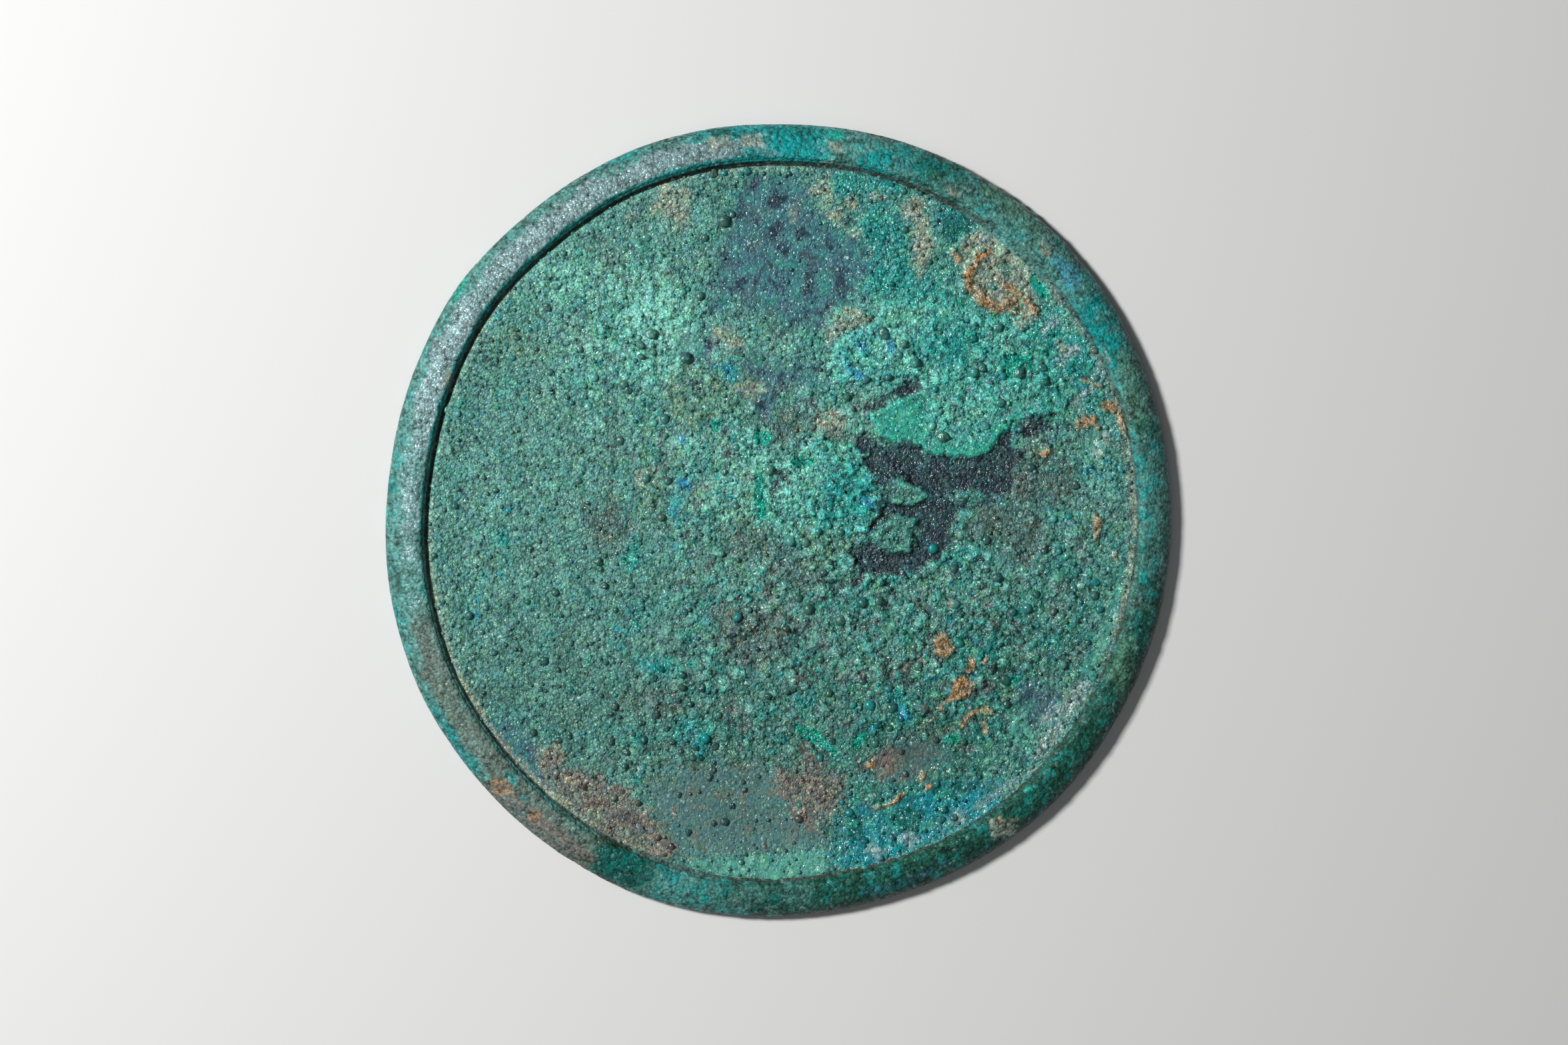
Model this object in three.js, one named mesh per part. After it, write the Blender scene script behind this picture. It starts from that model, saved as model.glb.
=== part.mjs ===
// A cast bronze disc mirror, lying on its flat reflecting face with its raised rim up.
// Millimetres, +Z up, the origin under the middle of the disc.

import * as THREE from 'three';

// Disc
const RADIUS = 75;              // mean outer radius
const FIELD_EDGE_THICKNESS = 3.6;
const FIELD_DISH = 0.3;         // how much thinner the field is at its middle

// Rim, from the outside in
const FOOT_ROUND = 1.4;         // how far the underside's flat stops short of the outer edge
const EDGE_HEIGHT = 1.5;        // height of the widest point of the rim
const CREST_RADIUS = 69.2;
const CREST_HEIGHT = 5.6;
const CREST_ROUND = 0.8;        // rounding of the crest's inner lip
const LIP_ANGLE = 170;          // degrees round the lip where the inner wall starts
const FILLET_RADIUS = 1.0;      // hollow where the inner wall meets the field
const FILLET_INNER_RADIUS = 67.0;

// The cast outline is not a true circle: gentle swells and flats, each given as
// the direction it faces in degrees, its half width in degrees and its height.
const SWELLS = [
  { at: 39, spread: 18, height: 0.3 },
  { at: 88, spread: 9, height: -0.35 },
  { at: 114, spread: 12, height: 0.28 },
  { at: 144, spread: 9, height: 0.5 },
  { at: 172, spread: 11, height: -0.42 },
  { at: 204, spread: 7, height: 0.2 },
  { at: 251, spread: 11, height: 0.35 },
  { at: 282, spread: 15, height: -0.42 },
  { at: 315, spread: 13, height: 0.3 },
];

// Fineness
const SIDES = 120;
const EDGE_STEPS = 3;
const SLOPE_STEPS = 6;
const LIP_STEPS = 3;
const FILLET_STEPS = 3;
const FIELD_STEPS = 3;

// Points round a part of an ellipse, leaving out its first one.
function arc(centreX, centreY, radiusX, radiusY, fromDegrees, toDegrees, steps) {
  const points = [];
  for (let step = 1; step <= steps; step += 1) {
    const angle = THREE.MathUtils.degToRad(
      THREE.MathUtils.lerp(fromDegrees, toDegrees, step / steps));
    points.push(new THREE.Vector2(
      centreX + radiusX * Math.cos(angle), centreY + radiusY * Math.sin(angle)));
  }
  return points;
}

// The dished field from the fillet to the middle, leaving out its first point.
function fieldPoints() {
  const points = [];
  for (let step = 1; step <= FIELD_STEPS; step += 1) {
    const share = 1 - step / FIELD_STEPS;
    const height = FIELD_EDGE_THICKNESS - FIELD_DISH * (1 - share * share);
    points.push(new THREE.Vector2(FILLET_INNER_RADIUS * share, height));
  }
  return points;
}

// Half the section through the disc, from the axis underneath to the axis on top.
function sectionPoints() {
  const footRadius = RADIUS - FOOT_ROUND;
  return [
    new THREE.Vector2(0, 0),
    new THREE.Vector2(footRadius, 0),
    ...arc(footRadius, EDGE_HEIGHT, FOOT_ROUND, EDGE_HEIGHT, -90, 0, EDGE_STEPS),
    ...arc(CREST_RADIUS, EDGE_HEIGHT, RADIUS - CREST_RADIUS, CREST_HEIGHT - EDGE_HEIGHT,
      0, 90, SLOPE_STEPS),
    ...arc(CREST_RADIUS, CREST_HEIGHT - CREST_ROUND, CREST_ROUND, CREST_ROUND,
      90, LIP_ANGLE, LIP_STEPS),
    ...arc(FILLET_INNER_RADIUS, FIELD_EDGE_THICKNESS + FILLET_RADIUS, FILLET_RADIUS,
      FILLET_RADIUS, 0, -90, FILLET_STEPS),
    ...fieldPoints(),
  ];
}

// How far the outline stands out in a direction, all swells together.
function swellAt(degrees) {
  return SWELLS.reduce((sum, { at, spread, height }) => {
    const away = THREE.MathUtils.euclideanModulo(degrees - at + 180, 360) - 180;
    return sum + height * Math.exp(-((away / spread) ** 2));
  }, 0);
}

function discGeometry() {
  const geometry = new THREE.LatheGeometry(sectionPoints(), SIDES);
  geometry.rotateX(Math.PI / 2);
  const position = geometry.getAttribute('position');
  for (let index = 0; index < position.count; index += 1) {
    const x = position.getX(index);
    const y = position.getY(index);
    const degrees = THREE.MathUtils.radToDeg(Math.atan2(y, x));
    const stretch = 1 + swellAt(degrees) / RADIUS;
    position.setXY(index, x * stretch, y * stretch);
  }
  geometry.computeBoundingBox();
  const middle = geometry.boundingBox.getCenter(new THREE.Vector3());
  geometry.translate(-middle.x, -middle.y, 0);
  geometry.computeVertexNormals();
  return geometry;
}

const patinatedBronze = new THREE.MeshStandardMaterial({
  name: 'patinated_bronze', color: 0x55877c, roughness: 0.6, metalness: 0.1,
});

const mirror = new THREE.Group();
const disc = new THREE.Mesh(discGeometry(), patinatedBronze);
disc.name = 'mirror_disc';
mirror.add(disc);

export default mirror;
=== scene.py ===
"""An old bronze disc mirror with a raised rim, lying with its sunken side up.

The casting is spun from its section. The patinated crust of the sunken field lies in
it as a shell of its own, and the warts and grains grown on the crust are scattered on
that. Outlines and places of the patina are in millimetres.
"""

import math

import bpy
import numpy as np
from bpy.props import FloatProperty, FloatVectorProperty, IntProperty, PointerProperty
from mathutils import Matrix, Vector


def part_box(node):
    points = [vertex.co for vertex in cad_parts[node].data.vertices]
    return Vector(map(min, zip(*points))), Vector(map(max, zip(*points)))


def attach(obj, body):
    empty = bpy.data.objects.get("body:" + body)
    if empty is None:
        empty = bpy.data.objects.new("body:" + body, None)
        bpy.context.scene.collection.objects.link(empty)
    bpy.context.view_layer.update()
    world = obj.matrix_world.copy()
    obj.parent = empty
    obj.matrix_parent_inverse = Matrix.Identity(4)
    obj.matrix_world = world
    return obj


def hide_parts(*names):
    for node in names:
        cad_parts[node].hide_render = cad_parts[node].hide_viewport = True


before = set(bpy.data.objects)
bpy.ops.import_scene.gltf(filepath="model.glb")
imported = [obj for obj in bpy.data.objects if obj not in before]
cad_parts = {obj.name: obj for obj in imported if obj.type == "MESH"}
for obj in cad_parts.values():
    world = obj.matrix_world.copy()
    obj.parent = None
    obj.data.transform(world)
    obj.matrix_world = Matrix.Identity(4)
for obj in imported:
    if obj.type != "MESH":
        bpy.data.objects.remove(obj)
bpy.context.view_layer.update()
CAD_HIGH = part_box("mirror_disc")[1]

bl_info = {
    "name": "Patinated disc mirror",
    "version": (1, 0, 0),
    "blender": (4, 5, 0),
    "location": "3D View > Sidebar > Mirror",
    "description": "Builds a corroded bronze disc mirror round its CAD frame",
    "category": "Object",
}

MM = 0.001

# Gentle swells and flats of the cast outline: the way each faces in degrees, its half
# width in degrees and its height in millimetres.
SWELLS = (
    (39, 18, 0.3), (88, 9, -0.35), (114, 12, 0.28), (144, 9, 0.5), (172, 11, -0.42),
    (204, 7, 0.2), (251, 11, 0.35), (282, 15, -0.42), (315, 13, 0.3),
)

# Where the crust climbs the hollow at the rim's foot, by direction in the same way.
CLIMBS = (
    (0, 48, 1.0), (45, 14, 1.0), (300, 40, 1.0), (270, 16, 0.8), (330, 30, 1.0), (222, 26, 0.75),
)

# Where crust and corrosion swallow the groove at the rim's foot, in the same way.
BURIED = ((50, 9, 1.0), (243, 6, 0.3))

# The rim's tones by direction: the way each faces in degrees, its half width in degrees
# and its strength. Two of them are painted light: the grey sheen on the side that faces the
# key lamp is partly a painted highlight, and the groove's shadow tone sets how dark the
# painted shadow in the groove is.
RIM_TONES = {
    # Grey sheen: partly lighter patina from wear, partly a painted highlight on the side that faces the
    # key lamp.
    "silver": ((106, 11, 1.5), (128, 18, 1.3), (153, 20, 1.0), (177, 15, 0.6), (198, 12, 0.25)),
    "clay": ((202, 12, 0.8), (222, 17, 1.0), (237, 7, 0.6)),
    "deep": ((266, 14, 0.5), (290, 20, 1.0), (318, 18, 1.0), (338, 14, 0.8), (355, 12, 0.4),
             (16, 14, 0.4), (66, 10, 0.5), (243, 6, 0.9)),
    "bright": ((87, 6, 0.9), (255, 8, 0.3)),
    "cyan": ((92, 8, 0.9), (75, 7, 0.4), (32, 9, 0.5), (4, 10, 0.3), (254, 9, 0.3)),
    # How dark the painted shadow in the groove is: darkest on the key lamp's side, where the crest
    # shades the groove.
    "gloom": ((110, 40, 1.0), (165, 32, 1.0), (65, 18, 0.5)),
    "seam": ((215, 24, 0.9), (188, 12, 0.6), (95, 14, 0.6), (150, 12, 0.35), (2, 12, 0.9),
             (16, 8, 0.7), (346, 7, 0.6), (40, 12, 0.6)),
}

# The middle of all that is drawn on the field below, from the disc's own middle.
DRAWN_OFF = (-1.4, 0.6)

# How glossy the growth is by place: a soft spot's middle, its reach and its amount.
GLOSS_SPOTS = (
    (26, -57, 13, 1.0), (58, -22, 14, 0.7), (60, 18, 14, 0.9), (34, 28, 18, 0.6),
    (30, 0, 14, 0.4), (-33, 40, 20, 0.5), (8, 8, 16, 0.5), (30, -26, 22, 0.5), (44, 46, 15, 0.8),
    (20, 56, 12, 0.5), (2, 50, 10, 0.4),
)

# How coarse the field's growth is, in the same way.
COARSE_SPOTS = (
    (12, -18, 24, 0.85), (38, -24, 20, 0.8), (30, 28, 18, 0.6), (8, 8, 12, 0.6),
    (-24, 38, 12, 0.55), (-16, -36, 14, 0.4), (50, 24, 14, 0.35), (-15, 18, 16, 0.3),
    (60, -5, 12, 0.4),
)

# How light the field's green is by place, in the same way.
LIGHT_SPOTS = (
    (-35, 38, 26, 0.16), (-42, -30, 18, -0.10), (4, 6, 14, 0.15), (30, 30, 18, 0.25),
    (-10, -50, 18, -0.2), (30, -44, 14, -0.2), (42, -12, 14, 0.12), (-46, -40, 14, -0.05),
    (0, -12, 12, 0.05), (10, -30, 16, -0.05), (60, 4, 10, 0.16), (-22, 34, 9, 0.25),
    (-58, 0, 14, 0.08), (-10, 8, 10, 0.15), (50, 27, 9, -0.3), (14, -44, 8, -0.1),
    (52, -16, 16, -0.12), (40, -28, 12, -0.12), (9, 4, 9, -0.12), (10, 40, 10, 0.1),
)

# Where the colours change from one small blot to the next, in the same way.
MOTLEY_SPOTS = ((-14, 12, 17, 0.75), (2, 20, 10, 0.4), (-2, -8, 12, 0.4), (45, 8, 14, 0.3))

# Where the green is bluer and clearer, in the same way.
CLEAR_SPOTS = (
    (18, 52, 20, 0.9), (30, 20, 20, 0.6), (6, 8, 12, 0.5), (34, -38, 18, 0.6), (24, -58, 12, 0.8),
    (56, -10, 10, 0.5), (-26, 34, 10, 0.5), (58, 30, 10, 0.7),
)

# Brinks where a plate of crust breaks off sharply; away from them it levels out.
BRINKS = (
    ((10, 28), (9.5, 31), (12, 34.5), (16, 36)),
    ((21, 21.5), (17.3, 19.5), (19, 16), (23, 14.2), (27, 13.5), (30, 12), (34, 11.6), (38, 11.3),
     (41, 13), (43, 16.5), (45, 18.5), (50, 19.5)),
    ((12, 26), (22, 27), (27, 27), (27.5, 24.5)),
    ((14, 14), (16.5, 11), (18.5, 8.5), (24, 7), (27.5, 6), (28.5, 4.3), (26, 2.8), (20.5, 3.4),
     (19.5, 1), (17, -2)),
    ((22, 0.2), (27, 0.2), (26, -2.5), (25, -6.5), (21, -5.8)),
)

# A ring-shaped scar: its middle, its radius and how wide its wall is.
SCAR = (16.9, 30.5, 4.4, 0.9)

# What lies where: outlines of each kind of patina, seen from above.
PATCHES = {
    "slate": (
        ((-12, 39), (-11.5, 47), (-9.5, 53), (-8, 60), (-5, 64.5), (2, 64.5), (5.5, 62.5),
         (6, 59.5), (8.5, 56.5), (11, 54), (15, 53.5), (18, 49.5), (16, 43.5), (15, 41),
         (10.5, 39.5), (9, 36), (2, 36.5), (-2, 39), (-7, 40.5)),
        ((-6, 30.5), (-3, 30.5), (1, 28), (4, 29.5), (7.5, 28.5), (8.5, 26), (4, 25), (0, 25.5),
         (-1, 18.5), (-4, 19.5), (-5.5, 25)),
        ((-20, 35), (-15.5, 34.5), (-13, 36.5), (-12, 34), (-13.5, 30), (-16, 29), (-19, 32)),
        ((-54, -36), (-49, -38.5), (-46.5, -42), (-44, -45.5), (-43, -50), (-46, -49), (-54, -40)),
        ((47, -30), (51, -33), (55, -34.5), (52, -38.5), (48.5, -39.5), (47, -35)),
        ((-31, -55), (-28.5, -55.5), (-26.5, -57.5), (-28.5, -57.8), (-30.5, -56.5)),
        ((6.8, 70), (9, 70.2), (9.3, 68.6), (7, 68.4)),
        ((22.3, 67.8), (23.8, 67.5), (23.6, 66), (22.4, 66)),
        ((16, -70.6), (24, -68.4), (33, -64.6), (34, -65.8), (25, -69.9), (17, -72)),
    ),
    "ash": (
        ((-23, -58), (-25, -50), (-20, -46.5), (-12, -46.5), (-4, -46), (1, -49), (3, -55),
         (8, -58), (9, -62), (2, -62.5), (-10, -63), (-20, -63.5)),
        ((22, -42.5), (30, -42), (33, -45), (30, -48.5), (25, -51), (19.5, -50), (19.5, -46)),
    ),
    "dusk": (
        ((-12, -17), (-6, -16), (0, -17.5), (6, -19), (4, -23), (-2, -27), (-9, -26), (-12, -22)),
        ((-9, -2), (-3, -2), (1, -4), (5, -9), (9, -12), (6, -14), (2, -11), (-2, -8), (-7, -6)),
        ((38, 3), (46, 3), (51, 0), (53, -6), (48, -9), (42, -5), (36, -4)),
        ((44, 11), (50, 14), (57, 10), (58, 4), (50, 1), (42, 4)),
        ((-1, 20), (4, 22), (6, 16), (2, 12), (-2, 14)),
        ((-37, 3), (-31, 4), (-27, -1), (-30, -7), (-35, -4)),
        ((-24, -32), (-19, -31), (-17, -36), (-23, -37)),
        ((20, -42), (27, -41), (32, -44), (28, -48), (21, -47)),
    ),
    "leaf": (
        ((3.5, -2), (7, -1.5), (10, -3), (13.5, -4.5), (14.2, -6.5), (11, -8.5), (8, -9), (6, -8)),
        ((-21, 28), (-15, 30), (-8, 28), (-3, 26.5), (-5, 21), (-12, 18), (-17, 17), (-21, 21)),
        ((-26, 9), (-22, 10), (-20, 5), (-21, 0), (-25, 0), (-27, 4)),
        ((-10, 3), (-5, 4), (-4, -1), (-9, -2)),
        ((-55, 34), (-49, 37), (-44, 33), (-48, 28), (-54, 29)),
        ((32.5, 12.2), (34.6, 11), (37.3, 9.8), (37, 8.9), (34, 9.9), (32, 11.2)),
        ((40, 64.5), (46, 60), (52, 54), (50, 52), (44, 57), (39, 61)),
        ((66, 33), (69, 27), (71, 18), (69, 15), (67, 22), (64, 31)),
        ((63, -30), (66, -22), (69, -23), (68, -30), (66, -35)),
    ),
    "dark": (
        ((14.5, 15.5), (17, 16.2), (21.5, 13.8), (25, 14.6), (28.5, 12), (34, 11.8), (40, 11.7),
         (42, 15.3), (44.3, 15.7), (47, 12), (45, 6), (41, 2), (34.5, 1.5), (33, -5.5), (28, -9.5),
         (19, -10.8), (15.5, -9), (14, -5.4), (17, -4.6), (18.7, -3), (17.4, -1), (19.8, 1),
         (18.4, 3), (19.6, 5.4), (18, 8.6), (15.8, 10.2), (17, 12.2)),
        ((46, 17.3), (50, 18.5), (52.5, 17.5), (51.5, 15.5), (47.5, 15.2)),
        ((16.5, 20.5), (19.5, 20.3), (22, 22.8), (27.5, 23), (27.3, 25.8), (24.5, 26.5),
         (22.3, 24), (17, 21.8)),
        ((-1.2, 3.5), (-0.6, 9), (1, 9.3), (3, 7.2), (1, 6.8), (0, 3.5)),
        ((10, -10.5), (16, -11.2), (15, -12.6), (11, -13.2), (8, -12)),
    ),
    "crust": (
        ((10, 31), (12, 34.5), (16, 36), (19, 37.5), (20, 41), (30, 42), (35, 40), (40, 38.8),
         (47, 38), (52, 41), (58, 38.5), (62, 33), (64, 27), (58, 26), (55, 20), (50, 19.5),
         (45, 18.5), (43, 16.5), (41, 13), (38, 11.3), (34, 11.6), (30, 12), (27, 13.5),
         (23, 14.2), (19, 16), (17.3, 19.5), (21, 21.5), (27.5, 24.5), (27, 27), (22, 27),
         (12, 26), (9.5, 28)),
        ((-4, 12), (-1, 14.5), (9, 15), (14, 14), (16.5, 11), (18.5, 8.5), (24, 7), (27.5, 6),
         (28.5, 4.3), (26, 2.8), (20.5, 3.4), (19.5, 1), (17, -2), (12, -3.5), (5, -1.5),
         (-4, -0.5), (-5, 4)),
        ((20, -1), (22, 0.2), (27, 0.2), (26, -2.5), (25, -6.5), (21, -5.8), (18.5, -5),
         (17.5, -2)),
    ),
    "pale": (
        ((-31, 43), (-24, 46), (-19, 43), (-15.5, 39), (-15.5, 33), (-20, 29.5), (-24, 31.5),
         (-31, 37)),
        ((-46, 46), (-38, 50), (-34, 47), (-38, 42), (-45, 40)),
        ((20, 36), (26, 37), (30, 33), (27, 29), (21, 30)),
        ((-4, 13), (6, 14), (9, 9), (4, 3), (-3, 4)),
    ),
    "sea": (
        ((-12, 28.5), (-9, 30), (-7, 27), (-9, 25)),
        ((-20.5, 5), (-18, 5), (-18.6, 0), (-20.6, 1)),
        ((9.5, -66), (10, -62), (13, -57.5), (15.5, -53), (19, -55), (24, -53), (28, -51.5),
         (33, -50), (42, -49.5), (45, -51), (42, -55.5), (36, -59), (28, -62.5), (18, -66)),
        ((30, 57.5), (36, 58), (38, 55), (34, 53), (31, 54.5)),
    ),
    "isle": (
        ((19.5, 5.8), (23, 7), (27.3, 6.4), (29, 4.4), (26, 2.6), (20.5, 3)),
        ((19.5, -0.4), (22, 0.8), (26.5, 0), (27.3, -3), (25.2, -6.8), (21, -6.2), (18.3, -4)),
        ((33, 4.5), (37, 5.5), (40, 4), (37, 1.8)),
        ((9, -9), (12.5, -9.5), (12, -12), (9, -11.5)),
    ),
    "teal": (
        ((48, 38), (54, 40), (60, 34), (63, 25), (60, 20), (56, 26), (50, 32)),
        ((24, 33), (30, 38), (38, 37), (40, 32), (34, 29), (27, 29)),
        ((16, 43), (18, 48.5), (16, 56), (18, 60), (21, 60), (23, 58), (24, 53), (27, 46.5),
         (31, 46.5), (33, 43), (30, 41), (22, 41)),
        ((9, 63), (10.5, 61), (15, 61), (20, 61.5), (23, 61), (24, 64), (16, 66), (10, 66)),
        ((9, 9), (13, 10.5), (17, 9), (19.3, 5), (18.5, 1), (14, -1.5), (9, -0.5), (8, 4)),
        ((-55, -1), (-51, -1), (-50, -4), (-52, -5)),
        ((-30, -7), (-27, -3), (-25, -6), (-26, -9), (-29, -9)),
        ((-29, -14), (-25, -16), (-26, -21), (-28, -20)),
        ((-19, -21), (-16, -20), (-16, -22.5), (-18.5, -23)),
        ((-29, -25), (-25, -25), (-20, -26), (-16.5, -27), (-17, -28.5), (-22, -29), (-27, -27.5)),
        ((-20, -38), (-15, -36), (-12.5, -40), (-14, -43.5), (-19, -42)),
        ((3, -33), (7, -33.5), (6.5, -37), (4, -36)),
        ((20, -32), (25, -34), (26, -38), (23, -38)),
        ((31, -7), (34, -5.3), (39, -6), (38, -8.5), (32, -9)),
        ((38, -24), (42, -23), (43, -27), (38.5, -28)),
        ((-1, 69.4), (4, 69.2), (5, 72.5), (1, 73.4), (-2, 72.5)),
        ((4.2, 74.3), (7.6, 74), (7, 71.4), (4.4, 71.6)),
        ((-16, 74), (-8, 74.9), (0, 74.9), (-1, 72.6), (-9, 72), (-16, 71)),
        ((-33, 66.8), (-26, 70), (-26, 68.4), (-32, 65.4)),
        ((-73.9, 9.5), (-71.9, 9), (-71.6, 6), (-73.5, 5.4)),
        ((-73, -15), (-71.3, -15), (-70.4, -22), (-72, -22)),
        ((-67, -34), (-64.5, -34.5), (-56, -46.5), (-58, -48)),
        ((-52, -46), (-49.5, -46.2), (-49.6, -49), (-51.6, -49)),
        ((-49.8, -51), (-47.6, -51.2), (-47.6, -55), (-49.2, -55)),
    ),
    "meadow": (
        ((-22, -64.6), (-10, -63.9), (0, -63.2), (8, -62.6), (10, -65), (8, -68), (0, -69.2),
         (-10, -68.4), (-19, -66.6)),
        ((57.5, 11), (60, 16.5), (62.8, 16), (61.4, 10.4)),
        ((44, -38), (48, -37), (49, -42), (45, -42.5)),
        ((67.2, -9), (66.2, -17), (63.6, -24.6), (60.6, -30.8), (58.6, -29.6), (61.6, -23.6),
         (64, -16.4), (65.2, -9)),
        ((38, 57), (44, 52), (49, 47), (52, 42), (50.8, 41), (47.5, 46), (43, 51), (37, 55.6)),
        ((-48, -47), (-40, -56), (-33, -60.6), (-33.6, -61.4), (-41, -57), (-49, -48)),
    ),
    "mint": (
        ((17.2, 20), (18.5, 17), (20, 15), (22.5, 14.2), (25, 14.8), (28.5, 12.2), (28.3, 16),
         (27.7, 23.5), (24.5, 23.3), (22, 22.6), (20.5, 20.8)),
        ((28.5, 12.2), (31, 11.7), (38, 10.9), (40.3, 11.8), (43.7, 16.2), (47, 18.6), (46, 20.4),
         (42.5, 18.3), (40.5, 17), (39.5, 14.5), (36.5, 13.8), (33, 13.8), (30, 14.3)),
    ),
    "emerald": (
        ((-4.5, 16.5), (-2, 16.8), (-0.8, 15.5), (-1.8, 13.8), (-4.2, 14.2)),
        ((2, 11.5), (4, 12.2), (7, 11.3), (6.5, 10), (3, 9.8)),
        ((-4.4, 9), (-3, 8.3), (-2.2, 6), (-2.2, 0.5), (-4, 0.4), (-4.2, 4)),
        ((43, 31), (47.8, 31), (49.5, 28.8), (48.8, 27.5), (46.5, 28.6), (44, 25.8), (43.4, 27.5)),
        ((48, 44.5), (49, 47), (51, 46), (52.5, 41), (50, 41.5)),
        ((-13.5, 19), (-11, 19), (-10.3, 17.5), (-12, 16.3)),
        ((39.8, 39.5), (42.5, 39.3), (43, 38), (41, 37.8)),
        ((32.8, 42.5), (34, 41.5), (36.5, 40), (35, 39.8), (33.2, 41)),
        ((3, -38.5), (8, -40), (12, -44.5), (11, -45), (8, -43), (4, -41)),
        ((31.5, -41.5), (34.5, -41), (34.8, -42.7), (32, -42.8)),
        ((43.3, -30.5), (45.5, -30), (47, -31), (45, -31.7)),
        ((14.5, -41), (17, -40.5), (17.5, -41.5), (15.5, -44), (14, -43)),
        ((9.8, 71.2), (12.4, 71), (12.6, 72.8), (10.2, 73.3)),
        ((-61.6, 41), (-60.2, 41), (-58.3, 45), (-59.5, 45.6)),
        ((46.8, -51.2), (49.2, -51), (48.4, -53)),
    ),
    "inky": (
        ((31, 57), (35, 57.5), (38.5, 56), (38, 54.5), (34.5, 53), (32.7, 51), (31, 53)),
        ((42.6, 48.8), (44, 48.5), (44.8, 47), (44, 45), (42.8, 46)),
        ((-34.5, -61), (-31, -60.5), (-26, -63), (-23.5, -65.5), (-24.5, -68), (-30, -69.5),
         (-33, -67), (-34.8, -64)),
        ((13, -57.5), (16, -56.5), (16.5, -60), (14, -62)),
        ((21.5, -56), (25, -54.5), (28.5, -56), (27, -59.5), (23, -59.5)),
        ((29, -51.5), (34, -50), (38.5, -50.5), (37, -52.6), (31, -53)),
        ((-74.4, 8), (-72.6, 8), (-72.6, 5.4), (-74.2, 5.4)),
        ((-13, 73.4), (-9, 73.8), (-9.5, 72.2), (-13, 72)),
        ((20, -70.6), (26, -68.4), (27, -70), (21, -72.4)),
    ),
    "brown": (
        ((-43, -46), (-39, -45.6), (-34, -47.6), (-28.5, -50), (-26.5, -53), (-22.5, -57), (-19.5, -61),
         (-20.5, -64), (-25, -62.8), (-35, -58.5), (-40, -54), (-43.5, -49.5)),
        ((0, -47), (4, -48), (6, -43.8), (9, -45), (9, -48), (13, -49.5), (13.3, -53),
         (10, -56.5), (7.5, -59), (3.5, -57), (1, -53), (-1, -51)),
        ((18, -45), (22, -43.5), (24, -47), (20, -49)),
        ((3.5, -43.5), (4.5, -42.5), (6.5, -43), (5.5, -44.3)),
        ((-46, -43), (-42, -41.5), (-40, -43.5), (-41.5, -47), (-44.5, -48)),
        ((-57.5, -49), (-53, -48), (-44, -55.5), (-36, -61.5), (-34.5, -64), (-38, -65.2),
         (-47, -58.6), (-54.5, -52.4)),
    ),
    "tan": (
        ((6, 62), (8, 65), (9.7, 64.5), (10.3, 60), (9.5, 58), (8, 58.5), (7.5, 60.5)),
        ((9, 57.5), (11.5, 58), (13, 54.5), (15.8, 54.3), (15.3, 53), (11, 55.5)),
        ((12.3, 59), (14.3, 60.5), (15.5, 59.3), (14.5, 58)),
        ((17.5, 61), (18.5, 61.5), (19.8, 60.3), (18, 59.8)),
        ((2.3, 57), (3.2, 59.2), (4.3, 57.5), (3.5, 56)),
        ((23.2, 58.5), (25, 60), (27, 60.5), (28.5, 58), (28.7, 54), (30, 51.5), (28, 46.5),
         (26.8, 45), (25.5, 47.5), (26, 55), (24, 56.7)),
        ((9, 35), (10.7, 38), (13, 39.7), (16, 39.3), (17.8, 37.2), (12, 35.2), (8.5, 33)),
        ((6.5, 19.5), (8.5, 21), (12, 20.5), (13.3, 18), (13.2, 15.5), (11.5, 15), (7, 17.5)),
        ((35, 53), (38, 54), (44, 52), (47, 50.5), (49, 48), (48.5, 45), (50.5, 39), (48.5, 36.5),
         (46, 36), (44, 39), (40, 40.5), (37, 43), (35.5, 46), (34.5, 49)),
        ((-24, 57), (-22.5, 62.5), (-18, 62.5), (-16, 62), (-17, 55.5), (-19, 54), (-20, 56.5)),
        ((-29, 57), (-26.5, 57), (-26.5, 56.2), (-28.8, 56.3)),
        ((-12, 36.5), (-9.5, 36.5), (-6, 33), (-6.5, 31.5), (-9, 32.5), (-12, 33.5)),
        ((-8.5, 25), (-4, 26), (-2, 24), (-4, 23), (-8, 23.5)),
        ((-26.7, 9), (-25.6, 9), (-25.4, 6.4), (-26.5, 6.2)),
        ((60, 32.5), (63.3, 30), (63.5, 28), (61.5, 28.5)),
        ((53, 34), (54.2, 33.5), (54.8, 31), (54, 30.8)),
        ((-62, 29), (-60.5, 27.5), (-62, 24.5), (-63, 26)),
        ((9.6, 70.9), (12, 70.6), (11.8, 69), (9.7, 69.2)),
        ((-13.5, 71.6), (-9, 71.8), (-9, 69.6), (-13, 69.2)),
        ((-7, 72), (-3, 72.2), (-3, 70.2), (-6.6, 70)),
        ((31.5, 62.3), (34.4, 61.2), (34, 60.6), (31.6, 61.3)),
        ((49.8, 52.2), (51.8, 51.4), (51.6, 49.2), (50, 49.4)),
        ((40, -57), (45.5, -57.5), (46.3, -60.6), (41, -61)),
    ),
    "azurite": (
        ((14.3, 33.5), (16, 33.5), (17.2, 32), (16.2, 31.3)),
        ((12, 29.3), (13.5, 29.5), (17, 26.5), (15.5, 26.2)),
        ((21, 35), (22, 33), (21.6, 31), (21, 33)),
        ((-19, 8), (-17.5, 8), (-16, 6), (-17, 5.3), (-18.8, 6.3)),
        ((-19, 16), (-17.8, 16), (-17.3, 14.8), (-18.6, 14.6)),
        ((16, 3.5), (17.5, 4.3), (18.3, 3), (18, 1.7), (16.8, 2.5)),
        ((37.4, -23), (38.5, -23.8), (38, -24.4)),
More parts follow.
